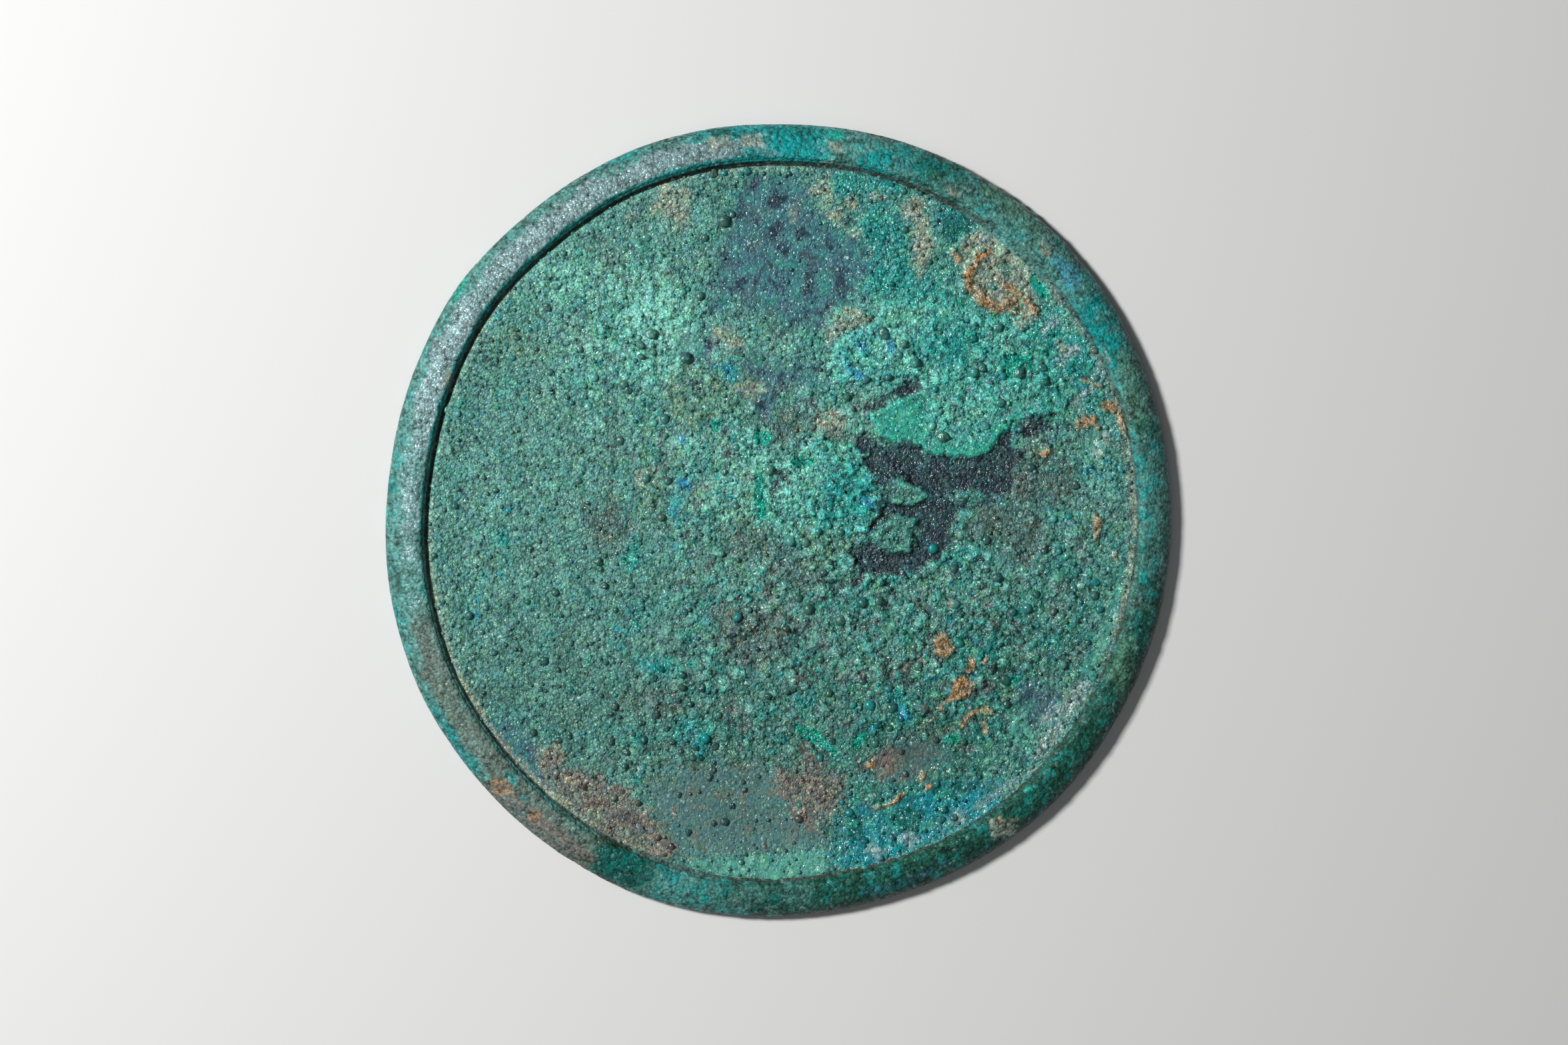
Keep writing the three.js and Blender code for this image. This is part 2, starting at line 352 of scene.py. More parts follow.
        ((16.9, 8.5), (17.7, 8.2), (17, 7.8)),
        ((22.8, -35.5), (24, -36), (25.5, -37.5), (24, -37.8)),
        ((52, 49), (54, 49), (56.5, 48), (57.5, 45.5), (57, 43.3), (55.8, 43), (54.4, 45),
         (53, 46.5)),
    ),
    # Pale glaze, partly a painted highlight: the lamp's reflection on the fillet at the lower right and
    # the glints on the crust by the right edge.
    "frost": (
        ((60, -31.6), (57.6, -36.6), (54.4, -41.4), (51, -45.6), (49, -46), (50.6, -42), (53.6, -38.4),
         (50.4, -38.8), (54.6, -35.2), (57.8, -31)),
        ((67.6, -6), (67, -13), (65, -22), (65.6, -22.2), (67.6, -14), (68.2, -6)),
        ((44, -50.6), (50, -47.4), (44.6, -51.8), (37, -55.6)),
        ((59.5, 26), (61.5, 30), (61, 34), (63, 31), (63, 26.5)),
        ((53, 30), (57, 33.2), (58.2, 31.8), (54, 28.5)),
        ((56, 21.8), (60, 25.5), (61.2, 24.2), (57, 20.6)),
        ((59.6, 12), (62.2, 16), (63.8, 15.2), (61.8, 11)),
        ((50, 36), (53, 38.6), (54.2, 37.2), (51, 34.5)),
        ((55, 35.5), (56.5, 38.3), (59, 37.3), (58, 34.6)),
        ((38, 52), (38.8, 54.3), (40.6, 53.6), (39.8, 51.8)),
        ((16.5, -63), (18.5, -61.6), (20.6, -63), (19, -64.6)),
        ((23.5, -61), (25.5, -59.6), (27.6, -61), (25.6, -62.6)),
        ((32.5, -57), (34.5, -55.4), (36.6, -57), (34.6, -58.8)),
    ),
    "soil": (
        ((57.7, 18.5), (58.3, 17), (60, 18), (61.5, 16.5), (60.8, 19.2), (59, 19)),
        ((63, 20.5), (64.5, 21.5), (66, 20.5), (67.5, 16), (66.3, 15.3), (65, 19)),
        ((50.3, 12), (51.2, 13.1), (52.8, 12.7), (51.2, 11.3)),
        ((61, 0.5), (62.5, -0.5), (62, -3), (60.8, -4.6), (60.8, -2)),
        ((64, -7), (65.5, -6.2), (65, -9)),
        ((31.8, -15.8), (33.3, -15.2), (33, -16.8)),
        ((30, -23), (31.5, -21.5), (34.3, -25), (32, -26.5), (29.8, -25.5)),
        ((36.8, -26.5), (37.7, -27), (37.5, -29), (36, -29.5)),
        ((33.8, -31), (35, -30), (37, -30.5), (38, -32.5), (36.5, -34), (34, -34.7), (32.5, -34.5)),
        ((39, -27.5), (40.5, -26.4), (40.3, -27.6)),
        ((16.5, -47.5), (17.2, -46), (18.5, -45.7), (18, -47.3)),
        ((-55, -48), (-51, -47.6), (-50, -50.6), (-53, -51.2)),
        ((-47.3, -54.3), (-45, -54.4), (-45, -56.6), (-46.8, -56.6)),
        ((42, -57), (42.9, -57), (42.7, -58), (42, -57.8)),
    ),
}

# Ridges of baked-on soil: the width of each and its path.
RIDGES = (
    (1.6, ((62.8, 21), (64.5, 21), (65.8, 19.5), (66.6, 16))),
    (1.7, ((57.8, 17.6), (60.4, 18.4))),
    (1.9, ((39.5, 50.5), (38, 49.5), (37, 47), (36, 45.3), (37.2, 43.2), (38.7, 41.3), (42, 39.6),
         (45.2, 41))),
    (0.8, ((42, 39.6), (41.9, 38.8))),
    (0.8, ((45.2, 41), (45.2, 39))),
    (1.2, ((43, 44.3), (45, 43), (47, 41.8), (49.2, 39))),
    (1, ((33.3, 50.3), (34.3, 48.3))),
    (0.7, ((32.5, -34.3), (31.3, -35.5), (31.2, -36.4))),
    (0.8, ((35.3, -39.5), (36.2, -37.8), (39.5, -36.3), (41, -37))),
    (0.9, ((40, -36.5), (39.5, -39), (40, -41))),
    (0.7, ((18.5, -54.8), (21, -54.5), (24.2, -52.2))),
    (0.6, ((27.3, -50), (28, -48.3))),
    (0.6, ((28.2, -51.5), (29.2, -50.8))),
    (0.7, ((58.5, 26), (61.8, 24.7))),
)

# Great warts: where each sits and how wide it is.
GREAT_WARTS = (
    (-34, -7.5, 1.9), (-33.5, -9, 1.3), (-33, -12, 1.6), (-31, -34.7, 1.7), (-23.6, -29.5, 1.6),
    (-22, -28, 1.3), (-18.4, -29, 1.8), (-18.3, -31.3, 1.7), (-14.5, -31.5, 1.5),
    (-16.7, -34.5, 1.4), (-25.5, -41.2, 1.7), (-31.7, -41.4, 1.5), (-28.9, -43.4, 1.4),
    (-20.2, -41.6, 1.5), (-23, -36.7, 1.3), (-21.3, -39, 1.4), (-15.7, -42.7, 1.4),
    (-15, -44.5, 1.3), (-12, -42.5, 1.7), (-13, -48.5, 1.5), (-18.8, -51.5, 1.3),
    (-26.6, -53, 1.3), (-8.7, -54, 1.4), (-12.2, -57.2, 1.3), (-17, -58.8, 1.4), (-6.5, -51, 1.3),
    (-46.3, -39.4, 1.6), (-20.5, -61.2, 1.3), (-12.5, -46.8, 1.6), (-36.8, -49.7, 1.3),
    (-18, -25, 1.4), (-10.3, 56, 2.8), (-6, 65.3, 1.8), (-24, 35, 2.4), (-26, 33, 1.9),
    (-17.5, 30.5, 2.4), (-12.3, 64.8, 1.5), (-10.3, 65, 1.3), (-43.5, 40, 1.8),
    (-28.5, 24.5, 1.7), (20, 35, 2.2), (31.5, 15.5, 2.6), (23.8, 33, 1.9), (39, 28.5, 2.0),
    (42, 36, 2.0), (46, 27.5, 2.2), (30.2, -42, 1.4), (35.7, -42.7, 1.4), (23.7, -44.3, 1.3),
    (24.5, -48.5, 1.4), (31.8, -55.5, 1.7), (31.3, -57.4, 1.5), (10.3, -42, 1.5), (19, -39, 1.6),
    (2.5, -32, 1.5), (41, -28.5, 1.5), (-10.2, 9, 1.6), (24.5, 7.8, 1.7), (23.5, 8.8, 1.4),
    (57, 6, 1.9), (61, -12.5, 1.7), (53, -18, 1.7),
)


REACH = 6.0                     # how far from an outline its depth is still told apart, in mm


# ---- Settings ------------------------------------------------------------------------


class MirrorSizes(bpy.types.PropertyGroup):
    """The casting's section and how finely it and its crust are divided."""

    radius: FloatProperty(
        name="Radius", description="Mean outer radius of the disc",
        default=75 * MM, unit="LENGTH")
    crest_height: FloatProperty(
        name="Crest height", description="Height of the rim's crest over the flat back",
        default=CAD_HIGH.z, unit="LENGTH")
    crest_radius: FloatProperty(
        name="Crest radius", description="Radius of the rim's crest",
        default=69.2 * MM, unit="LENGTH")
    crest_round: FloatProperty(
        name="Crest rounding", description="Rounding of the crest's inner lip",
        default=0.8 * MM, unit="LENGTH")
    edge_height: FloatProperty(
        name="Edge height", description="Height of the widest point of the rim",
        default=1.5 * MM, unit="LENGTH")
    foot_round: FloatProperty(
        name="Foot rounding", description="How far the flat back stops short of the edge",
        default=1.4 * MM, unit="LENGTH")
    fillet_radius: FloatProperty(
        name="Fillet radius", description="Hollow where the rim's inner wall meets the field",
        default=1.0 * MM, unit="LENGTH")
    field_radius: FloatProperty(
        name="Field radius", description="Where the sunken field ends and the hollow starts",
        default=67.0 * MM, unit="LENGTH")
    field_thickness: FloatProperty(
        name="Field thickness", description="Thickness of the disc at the field's border",
        default=3.6 * MM, unit="LENGTH")
    field_dish: FloatProperty(
        name="Field dish", description="How much thinner the disc is at its middle",
        default=0.3 * MM, unit="LENGTH")
    turns: IntProperty(
        name="Casting divisions", description="Steps round the spun casting",
        default=1500, min=60)
    rounds: IntProperty(
        name="Crust divisions", description="Steps round the crust's border, a multiple of four",
        default=1120, min=80, step=4)


def colour_property(name, description, default):
    """A colour that shows as a swatch in the sidebar."""
    return FloatVectorProperty(
        name=name, description=description, default=default, size=3,
        subtype="COLOR", min=0.0, max=1.0)


class PatinaColours(bpy.types.PropertyGroup):
    """The colours of the bronze's corrosion and of what has dried on it."""

    green: colour_property("Green", "Common green of the field", (0.088, 0.258, 0.230))
    pale: colour_property("Pale green", "Worn and powdery green", (0.175, 0.500, 0.430))
    leaf: colour_property("Leaf", "Olive green drifts", (0.092, 0.225, 0.145))
    dusk: colour_property("Dusk", "Dark grey drifts", (0.062, 0.105, 0.100))
    moss: colour_property("Moss", "Low and shaded green", (0.042, 0.140, 0.118))
    slate: colour_property("Slate", "Smooth blue-grey patina", (0.038, 0.122, 0.182))
    ash: colour_property("Ash", "Smooth grey-green patina", (0.068, 0.146, 0.152))
    dark: colour_property("Dark", "Bare blackened metal", (0.013, 0.022, 0.040))
    crust: colour_property("Crust", "Raised green crust", (0.056, 0.405, 0.358))
    teal: colour_property("Teal", "Glossy blue-green", (0.004, 0.240, 0.235))
    mint: colour_property("Mint", "Bright even green", (0.020, 0.300, 0.225))
    emerald: colour_property("Emerald", "Deep clear green", (0.005, 0.285, 0.215))
    brown: colour_property("Brown", "Grainy red-brown", (0.168, 0.128, 0.114))
    tan: colour_property("Tan", "Dried pale silt", (0.280, 0.305, 0.240))
    azurite: colour_property("Blue", "Clear blue crystals", (0.030, 0.290, 0.500))
    # Pale glaze, partly a painted highlight where the lamp is mirrored.
    frost: colour_property("Frost", "Pale worn glaze", (0.340, 0.440, 0.460))
    soil: colour_property("Soil", "Orange-brown baked-on soil", (0.330, 0.190, 0.088))
    sea: colour_property("Sea", "Deep glazed blue-green", (0.003, 0.215, 0.275))
    isle: colour_property("Isle", "Dull green lumps in the dark", (0.062, 0.225, 0.190))
    inky: colour_property("Inky", "Darkest clear blue-green", (0.003, 0.098, 0.086))
    clay: colour_property("Clay", "Beige-grey dirt on the rim", (0.112, 0.140, 0.115))
    meadow: colour_property("Meadow", "Smooth soft green", (0.080, 0.330, 0.270))
    # Painted highlight: near-white points painted on grain tops as glints.
    glint: colour_property("Glint", "Small bright points", (0.700, 0.820, 0.840))
    warm: colour_property("Warm cast", "Tints grains towards yellow-green", (1.0, 0.900, 0.640))
    cool: colour_property("Cool cast", "Tints grains towards blue", (0.700, 0.880, 1.0))
    # Partly the rim's lighter grey patina, partly a painted highlight where the key lamp is mirrored.
    silver: colour_property("Silver", "Worn grey sheen of the rim", (0.172, 0.258, 0.268))
    deep: colour_property("Deep green", "Dark clear green of the rim", (0.003, 0.064, 0.038))


class StudioSettings(bpy.types.PropertyGroup):
    """The camera, the lamps and the floor."""

    lens: FloatProperty(name="Lens", description="Focal length", default=100.0, unit="CAMERA")
    distance: FloatProperty(
        name="Distance", description="From the camera to the disc's middle",
        default=0.8185, unit="LENGTH")
    tilt: FloatProperty(
        name="Tilt", description="How far the camera leans from straight overhead",
        default=math.radians(9.5), subtype="ANGLE")
    side: FloatProperty(
        name="Side", description="The direction that the camera leans to",
        default=math.radians(157.6), subtype="ANGLE")
    key_power: FloatProperty(
        name="Key power", description="Power of the key lamp",
        default=12.5, unit="POWER")
    key_height: FloatProperty(
        name="Key height", description="Height of the key lamp over the horizon",
        default=math.radians(46), subtype="ANGLE")
    key_side: FloatProperty(
        name="Key side", description="The direction that the key light comes from",
        default=math.radians(157), subtype="ANGLE")
    room_light: FloatProperty(
        name="Room light", description="Strength of the even light all round", default=0.11)
    floor_colour: FloatVectorProperty(
        name="Floor", description="Colour of the floor", default=(0.62, 0.62, 0.61), size=3,
        subtype="COLOR", min=0.0, max=1.0)


# ---- Node trees ----------------------------------------------------------------------


class Wire:
    """A value from one socket of a tree. Sums written with it become Math nodes."""

    def __init__(self, board, socket):
        self.board = board
        self.socket = socket

    def sum(self, operation, *values):
        """A Math node on these values."""
        node = self.board.add("ShaderNodeMath", {"operation": operation}, dict(enumerate(values)))
        return node.out()

    def __add__(self, other):
        return self.sum("ADD", self, other)

    def __sub__(self, other):
        return self.sum("SUBTRACT", self, other)

    def __rsub__(self, other):
        return self.sum("SUBTRACT", other, self)

    def __mul__(self, other):
        return self.sum("MULTIPLY", self, other)

    def __truediv__(self, other):
        return self.sum("DIVIDE", self, other)

    __radd__ = __add__
    __rmul__ = __mul__

    def most(self, other):
        """The greater of two values."""
        return self.sum("MAXIMUM", self, other)

    def least(self, other):
        """The lesser of two values."""
        return self.sum("MINIMUM", self, other)

    def ease(self, low, high):
        """Goes softly from 0 at `low` to 1 at `high`."""
        node = self.board.add(
            "ShaderNodeMapRange", {"interpolation_type": "SMOOTHSTEP"},
            {0: self, 1: low, 2: high, 3: 0.0, 4: 1.0})
        return node.out()


class Placed:
    """A node that has been added, from which wires are taken."""

    def __init__(self, board, node):
        self.board = board
        self.node = node

    def out(self, name=0):
        """The wire from an output, by its name or number."""
        return Wire(self.board, self.node.outputs[name])


class Board:
    """A node tree that is being wired, for a finish or for a relief."""

    def __init__(self, tree):
        self.tree = tree

    def add(self, kind, settings=None, values=None):
        """Adds a node of this kind, sets it up, then fills or links its sockets."""
        node = self.tree.nodes.new(kind)
        for name, value in (settings or {}).items():
            setattr(node, name, value)
        for name, value in (values or {}).items():
            if isinstance(value, Wire):
                self.tree.links.new(value.socket, node.inputs[name])
            else:
                node.inputs[name].default_value = value
        return Placed(self, node)

    def mix(self, first, second, factor):
        """One colour going over to another."""
        return self.add(
            "ShaderNodeMix", {"data_type": "RGBA"}, {0: factor, 6: first, 7: second}).out(2)

    def tinted(self, colour, cast, amount):
        """A colour seen through a coloured cast."""
        return self.add(
            "ShaderNodeMix", {"data_type": "RGBA", "blend_type": "MULTIPLY"},
            {0: amount, 6: colour, 7: cast}).out(2)

    def scaled(self, vector, factor):
        """A vector or a colour made longer or brighter."""
        return self.add(
            "ShaderNodeVectorMath", {"operation": "SCALE"},
            {"Vector": vector, "Scale": factor}).out()

    def noise(self, place, size, detail=2.0, roughness=0.5):
        """Soft clouds about `size` millimetres across, from 0 to 1."""
        node = self.add(
            "ShaderNodeTexNoise", {},
            {"Vector": place, "Scale": 1 / size, "Detail": detail, "Roughness": roughness})
        return node.out()

    def cells(self, place, size):
        """Cells about `size` millimetres across: how far off a middle is, and a chance of its own."""
        node = self.add("ShaderNodeTexVoronoi", {}, {"Vector": place, "Scale": 1 / size})
        chance = self.add("ShaderNodeSeparateXYZ", {}, {0: node.out("Color")})
        return node.out("Distance"), chance.out(0)

    def pebbles(self, place, size):
        """Rounded grains packed side by side, 1 on their tops and 0 in the chinks."""
        away, chance = self.cells(place, size)
        return 1 - (away * away * 1.6).least(1), chance

    def domes(self, place, size, least, most):
        """Round bumps scattered one to a cell, from 0 to 1, the wider ones higher."""
        away, chance = self.cells(place, size)
        reach = chance * (most - least) + least
        share = (away / reach).least(1)
        return (1 - share * share) * reach / most


def as_colour(values):
    """A colour property's value, with its alpha."""
    return (*values, 1.0)


# ---- Places and marks ----------------------------------------------------------------


def places(mesh):
    """The places of a mesh's vertices, a row for each, in millimetres."""
    flat = np.empty(len(mesh.vertices) * 3, np.float32)
    mesh.vertices.foreach_get("co", flat)
    return flat.reshape(-1, 3).astype(float) / MM


def put(mesh, rows):
    """Moves a mesh's vertices to these places, in millimetres."""
    mesh.vertices.foreach_set("co", (rows * MM).astype(np.float32).ravel())
    mesh.update()


def in_order(thing):
    """Sorts a new mesh's faces by their corners, as modelling leaves them in any order.

    Growth is strewn face by face, so this is what makes it fall the same way each time.
    """
    old = thing.data
    faces = []
    for face in old.polygons:
        corners = list(face.vertices)
        first = corners.index(min(corners))
        faces.append(corners[first:] + corners[:first])
    mesh = bpy.data.meshes.new(thing.name)
    mesh.from_pydata([vertex.co for vertex in old.vertices], [], sorted(faces))
    thing.data = mesh
    bpy.data.meshes.remove(old)


def mark(mesh, name, values):
    """Keeps a number for each vertex, for reliefs and finishes to read."""
    attribute = mesh.attributes.get(name) or mesh.attributes.new(name, "FLOAT", "POINT")
    attribute.data.foreach_set("value", np.ascontiguousarray(values, np.float32))


def away_from(degrees, direction):
    """How many degrees each direction is from one direction, at most 180."""
    return np.abs((degrees - direction + 180) % 360 - 180)


def by_direction(degrees, humps):
    """Soft humps round the circle, the highest counting."""
    values = [height * np.exp(-(away_from(degrees, at) / spread) ** 2)
              for at, spread, height in humps]
    return np.max(values, axis=0)


def by_spot(x, y, spots):
    """Soft spots over the field, all together."""
    values = [amount * np.exp(-((x - at_x) ** 2 + (y - at_y) ** 2) / reach ** 2)
              for at_x, at_y, reach, amount in spots]
    return np.sum(values, axis=0)


def swell(degrees):
    """How far the cast outline stands out in each direction, in millimetres."""
    values = [height * np.exp(-(away_from(degrees, at) / spread) ** 2)
              for at, spread, height in SWELLS]
    return np.sum(values, axis=0)


def off_path(x, y, start, end):
    """How far each place is from one straight stretch."""
    run_x = end[0] - start[0]
    run_y = end[1] - start[1]
    share = ((x - start[0]) * run_x + (y - start[1]) * run_y) / (run_x ** 2 + run_y ** 2)
    share = np.clip(share, 0, 1)
    return np.hypot(x - start[0] - share * run_x, y - start[1] - share * run_y)


def depth_in(x, y, outline):
    """How deep each place lies in an outline, less than zero outside it."""
    nearest = np.full(x.shape, REACH)
    inside = np.zeros(x.shape, bool)
    for start, end in zip(outline, outline[1:] + outline[:1]):
        nearest = np.minimum(nearest, off_path(x, y, start, end))
        if start[1] != end[1]:
            crossing = start[0] + (y - start[1]) * (end[0] - start[0]) / (end[1] - start[1])
            inside ^= ((start[1] > y) != (end[1] > y)) & (x < crossing)
    return np.where(inside, nearest, -nearest)


def near(x, y, points):
    """Which places lie close enough to these points for a depth to tell."""
    xs, ys = np.array(points).T
    return ((x > xs.min() - REACH) & (x < xs.max() + REACH)
            & (y > ys.min() - REACH) & (y < ys.max() + REACH))


def mark_patches(mesh):
    """Marks how deep each vertex lies in every kind of patina, in millimetres."""
    x, y = (places(mesh)[:, :2] - DRAWN_OFF).T
    for name, outlines in PATCHES.items():
        depths = np.full(x.shape, -REACH)
        for outline in outlines:
            close = near(x, y, outline)
            depths[close] = np.maximum(depths[close], depth_in(x[close], y[close], outline))
        if name == "soil":
            for width, path in RIDGES:
                close = near(x, y, path)
                off = [off_path(x[close], y[close], *leg) for leg in zip(path, path[1:])]
                depths[close] = np.maximum(depths[close], width / 2 - np.min(off, axis=0))
        mark(mesh, name, depths)


def mark_brinks(mesh):
    """Marks how far each vertex is from a brink, and where the scar's ring stands."""
    x, y = (places(mesh)[:, :2] - DRAWN_OFF).T
    paths = [off_path(x, y, *leg) for path in BRINKS for leg in zip(path, path[1:])]
    mark(mesh, "brink", np.min(paths, axis=0))
    at_x, at_y, radius, width = SCAR
    off = np.hypot(x - at_x, y - at_y) - radius
    mark(mesh, "scar", np.exp(-(off / width) ** 2))


def mark_grounds(mesh):
    """Marks what changes slowly over the disc: directions, coarseness, lightness, gloss."""
    x, y, _ = places(mesh).T
    degrees = np.degrees(np.arctan2(y, x)) % 360
    mark(mesh, "edge", np.hypot(x, y))
    x, y = (places(mesh)[:, :2] - DRAWN_OFF).T
    mark(mesh, "motley", np.clip(by_spot(x, y, MOTLEY_SPOTS), 0, 1))
    mark(mesh, "clear", np.clip(by_spot(x, y, CLEAR_SPOTS), 0, 1))
    mark(mesh, "coarse", np.clip(0.25 + by_spot(x, y, COARSE_SPOTS), 0, 1))
    mark(mesh, "light", by_spot(x, y, LIGHT_SPOTS))
    mark(mesh, "gloss", np.clip(by_spot(x, y, GLOSS_SPOTS), 0, 1))
    mark(mesh, "climb", np.clip(by_direction(degrees, CLIMBS), 0, 1))
    mark(mesh, "buried", np.clip(by_direction(degrees, BURIED), 0, 1))
    for name, humps in RIM_TONES.items():
        mark(mesh, name, np.clip(by_direction(degrees, humps), 0, 1))


def cast_outline(mesh):
    """Gives a true circle the casting's uneven outline, and centres it as the frame is."""
    rows = places(mesh)
    degrees = np.degrees(np.arctan2(rows[:, 1], rows[:, 0])) % 360
    radius = bpy.context.scene.mirror_sizes.radius / MM
    rows[:, :2] *= (1 + swell(degrees) / radius)[:, None]
    turn = np.radians(np.arange(0, 360, 3))
    outline = (radius + swell(np.degrees(turn))) * np.array([np.cos(turn), np.sin(turn)])
    rows[:, :2] -= (outline.max(axis=1) + outline.min(axis=1)) / 2
    put(mesh, rows)


def lay_out_map(thing, half, under, hidden):
    """Spreads a piece flat over its map: the upper side all over it, the under side smaller.

    `half` is half the map's width in millimetres and `under` the under side's share of the
    map. A share below a half goes in a corner; a greater one in the middle, where the upper
    side inside the radius `hidden` makes room for it by going in the corner.
    """
    mesh = thing.data
    layer = mesh.uv_layers.new(name="OFBake")
    loops = np.empty(len(mesh.loops), np.int32)
    mesh.loops.foreach_get("vertex_index", loops)
    normals = np.empty(len(mesh.polygons) * 3, np.float32)
    mesh.polygons.foreach_get("normal", normals)
    sizes = np.empty(len(mesh.polygons), np.int32)
    mesh.polygons.foreach_get("loop_total", sizes)
    spread = places(mesh)[loops, :2] / (2 * half)
    down = np.repeat(normals.reshape(-1, 3)[:, 2] < 0, sizes)
    covered = ~down & (np.hypot(*spread.T) * 2 * half < hidden)
    upper = ~down & ~covered
    spread[upper] = spread[upper] * 0.985 + 0.5
    spread[down] = spread[down] * under + (0.5 if under > 0.5 else 0.08)
    spread[covered] = spread[covered] * 0.14 + 0.08
    layer.data.foreach_set("uv", np.ascontiguousarray(spread, np.float32).ravel())


# ---- Patterns that reliefs and finishes share ----------------------------------------


def place_of(board, flat):
    """Where a point is, in millimetres; a flat pattern runs straight down through the piece."""
    if board.tree.bl_idname == "GeometryNodeTree":
        point = board.add("GeometryNodeInputPosition").out()
    else:
        point = board.add("ShaderNodeTexCoord").out("Object")
    depth = 0 if flat else 1 / MM
    return board.add(
        "ShaderNodeVectorMath", {"operation": "MULTIPLY"},
        {0: point, 1: (1 / MM, 1 / MM, depth)}).out()


def reading(board, name):
    """The number that a mark holds here."""
    if board.tree.bl_idname == "GeometryNodeTree":
        node = board.add("GeometryNodeInputNamedAttribute", {"data_type": "FLOAT"}, {"Name": name})
        return node.out("Attribute")
    return board.add("ShaderNodeAttribute", {"attribute_name": name}).out("Fac")


class Patina:
    """Which kinds of patina are here, from the marked depths with ragged borders."""

    def __init__(self, board, flat=True):
        self.board = board
        self.place = place_of(board, flat)
        self.ragged = board.noise(self.place, 2.6, 5, 0.65) - 0.5

    def shaken(self):
        """The place pushed about a little, so that grains are not all alike."""
        clouds = self.board.add(
            "ShaderNodeTexNoise", {}, {"Vector": self.place, "Scale": 0.8, "Detail": 2.0})
        return self.board.add(
            "ShaderNodeVectorMath", {"operation": "MULTIPLY_ADD"},
            {0: clouds.out("Color"), 1: (1.1, 1.1, 0.0), 2: self.place}).out()

    def within(self, name, soft=0.3, wander=3.0, inset=0.0):
        """1 inside a kind of patina and 0 outside, with a border of this softness."""
        depth = reading(self.board, name) + self.ragged * wander - inset
        return depth.ease(-soft, soft)


def apply_nodes(thing, name, build):
    """Shapes a piece with a geometry tree that `build` wires, and applies it."""
    tree = bpy.data.node_groups.new(name, "GeometryNodeTree")
    tree.interface.new_socket("Mesh", in_out="INPUT", socket_type="NodeSocketGeometry")
    tree.interface.new_socket("Mesh", in_out="OUTPUT", socket_type="NodeSocketGeometry")
    board = Board(tree)
    start = board.add("NodeGroupInput").out()
    board.add("NodeGroupOutput", {}, {0: build(board, start)})
    modifier = thing.modifiers.new(name, "NODES")
    modifier.node_group = tree
    bpy.context.view_layer.objects.active = thing
    bpy.ops.object.modifier_apply(modifier=modifier.name)
    bpy.data.node_groups.remove(tree)


def keep(board, mesh, name, value):
    """Stores a value on a mesh's points as a mark."""
    return board.add(
        "GeometryNodeStoreNamedAttribute", {"data_type": "FLOAT", "domain": "POINT"},
        {"Geometry": mesh, "Name": name, "Value": value}).out()


def raised(board, mesh, height, direction):
    """Moves a mesh's points by a height in millimetres along a direction."""
    offset = board.scaled(direction, height * MM)
    return board.add("GeometryNodeSetPosition", {}, {"Geometry": mesh, "Offset": offset}).out()


def hollows(board, height, rounds):
    """How far a point stands out from what is round it."""
    node = board.add(
        "GeometryNodeBlurAttribute", {"data_type": "FLOAT"}, {0: height, "Iterations": rounds})
    return height - node.out(0)


# ---- The field's crust ---------------------------------------------------------------


def ease(values, low, high):
    """Goes softly from 0 at `low` to 1 at `high`."""
    share = np.clip((values - low) / (high - low), 0, 1)
    return share * share * (3 - 2 * share)


CRUST_RADIUS = 68.0             # where the crust's border lies, in mm
CRUST_TOP = 3.6                 # height of its face while it is still flat
CRUST_SKIRT = 0.5               # how deep its skirt hangs
CRUST_FOOT = 65.8               # radius of its under side
CRUST_BED = 2.4                 # height of its under side
RING_STEP = 0.375               # between the rings of its border
RINGS_END = 62                  # where the rings give way to the grid


def crust_surface(radius, climb):
    """Height of the crust before its growth: over the dished field, then up the hollow."""
    size = bpy.context.scene.mirror_sizes
    field_radius = size.field_radius / MM
    share = np.minimum(radius / field_radius, 1)
    field = (size.field_thickness - size.field_dish * (1 - share ** 2)) / MM
    over = np.clip(radius - field_radius, 0, 0.98)
    hollow = 1 - np.sqrt(1 - over ** 2)
    edge = 67.25 + 0.7 * climb
    lift = (0.6 - 0.45 * climb) * ease(radius, 60, 66.3)
    return field + hollow * climb + lift - (0.9 - 0.4 * climb) * ease(radius, edge - 0.45, edge)


def pick(thing, chosen):
    """Selects only these vertices of a mesh in edit mode."""
    bpy.ops.object.mode_set(mode="OBJECT")
    thing.data.polygons.foreach_set("select", np.zeros(len(thing.data.polygons), bool))
    thing.data.edges.foreach_set("select", np.zeros(len(thing.data.edges), bool))
    thing.data.vertices.foreach_set("select", np.ascontiguousarray(chosen, bool))
    bpy.ops.object.mode_set(mode="EDIT")
    bpy.ops.mesh.select_mode(type="VERT")


def extrude_ring(share, drop=0.0):
    """Draws the chosen ring out into a new one, this share of its size and lower by `drop`."""
    bpy.ops.mesh.extrude_edges_move(TRANSFORM_OT_translate={"value": (0, 0, -drop)})
    bpy.ops.transform.resize(value=(share, share, 1), center_override=(0, 0, 0))


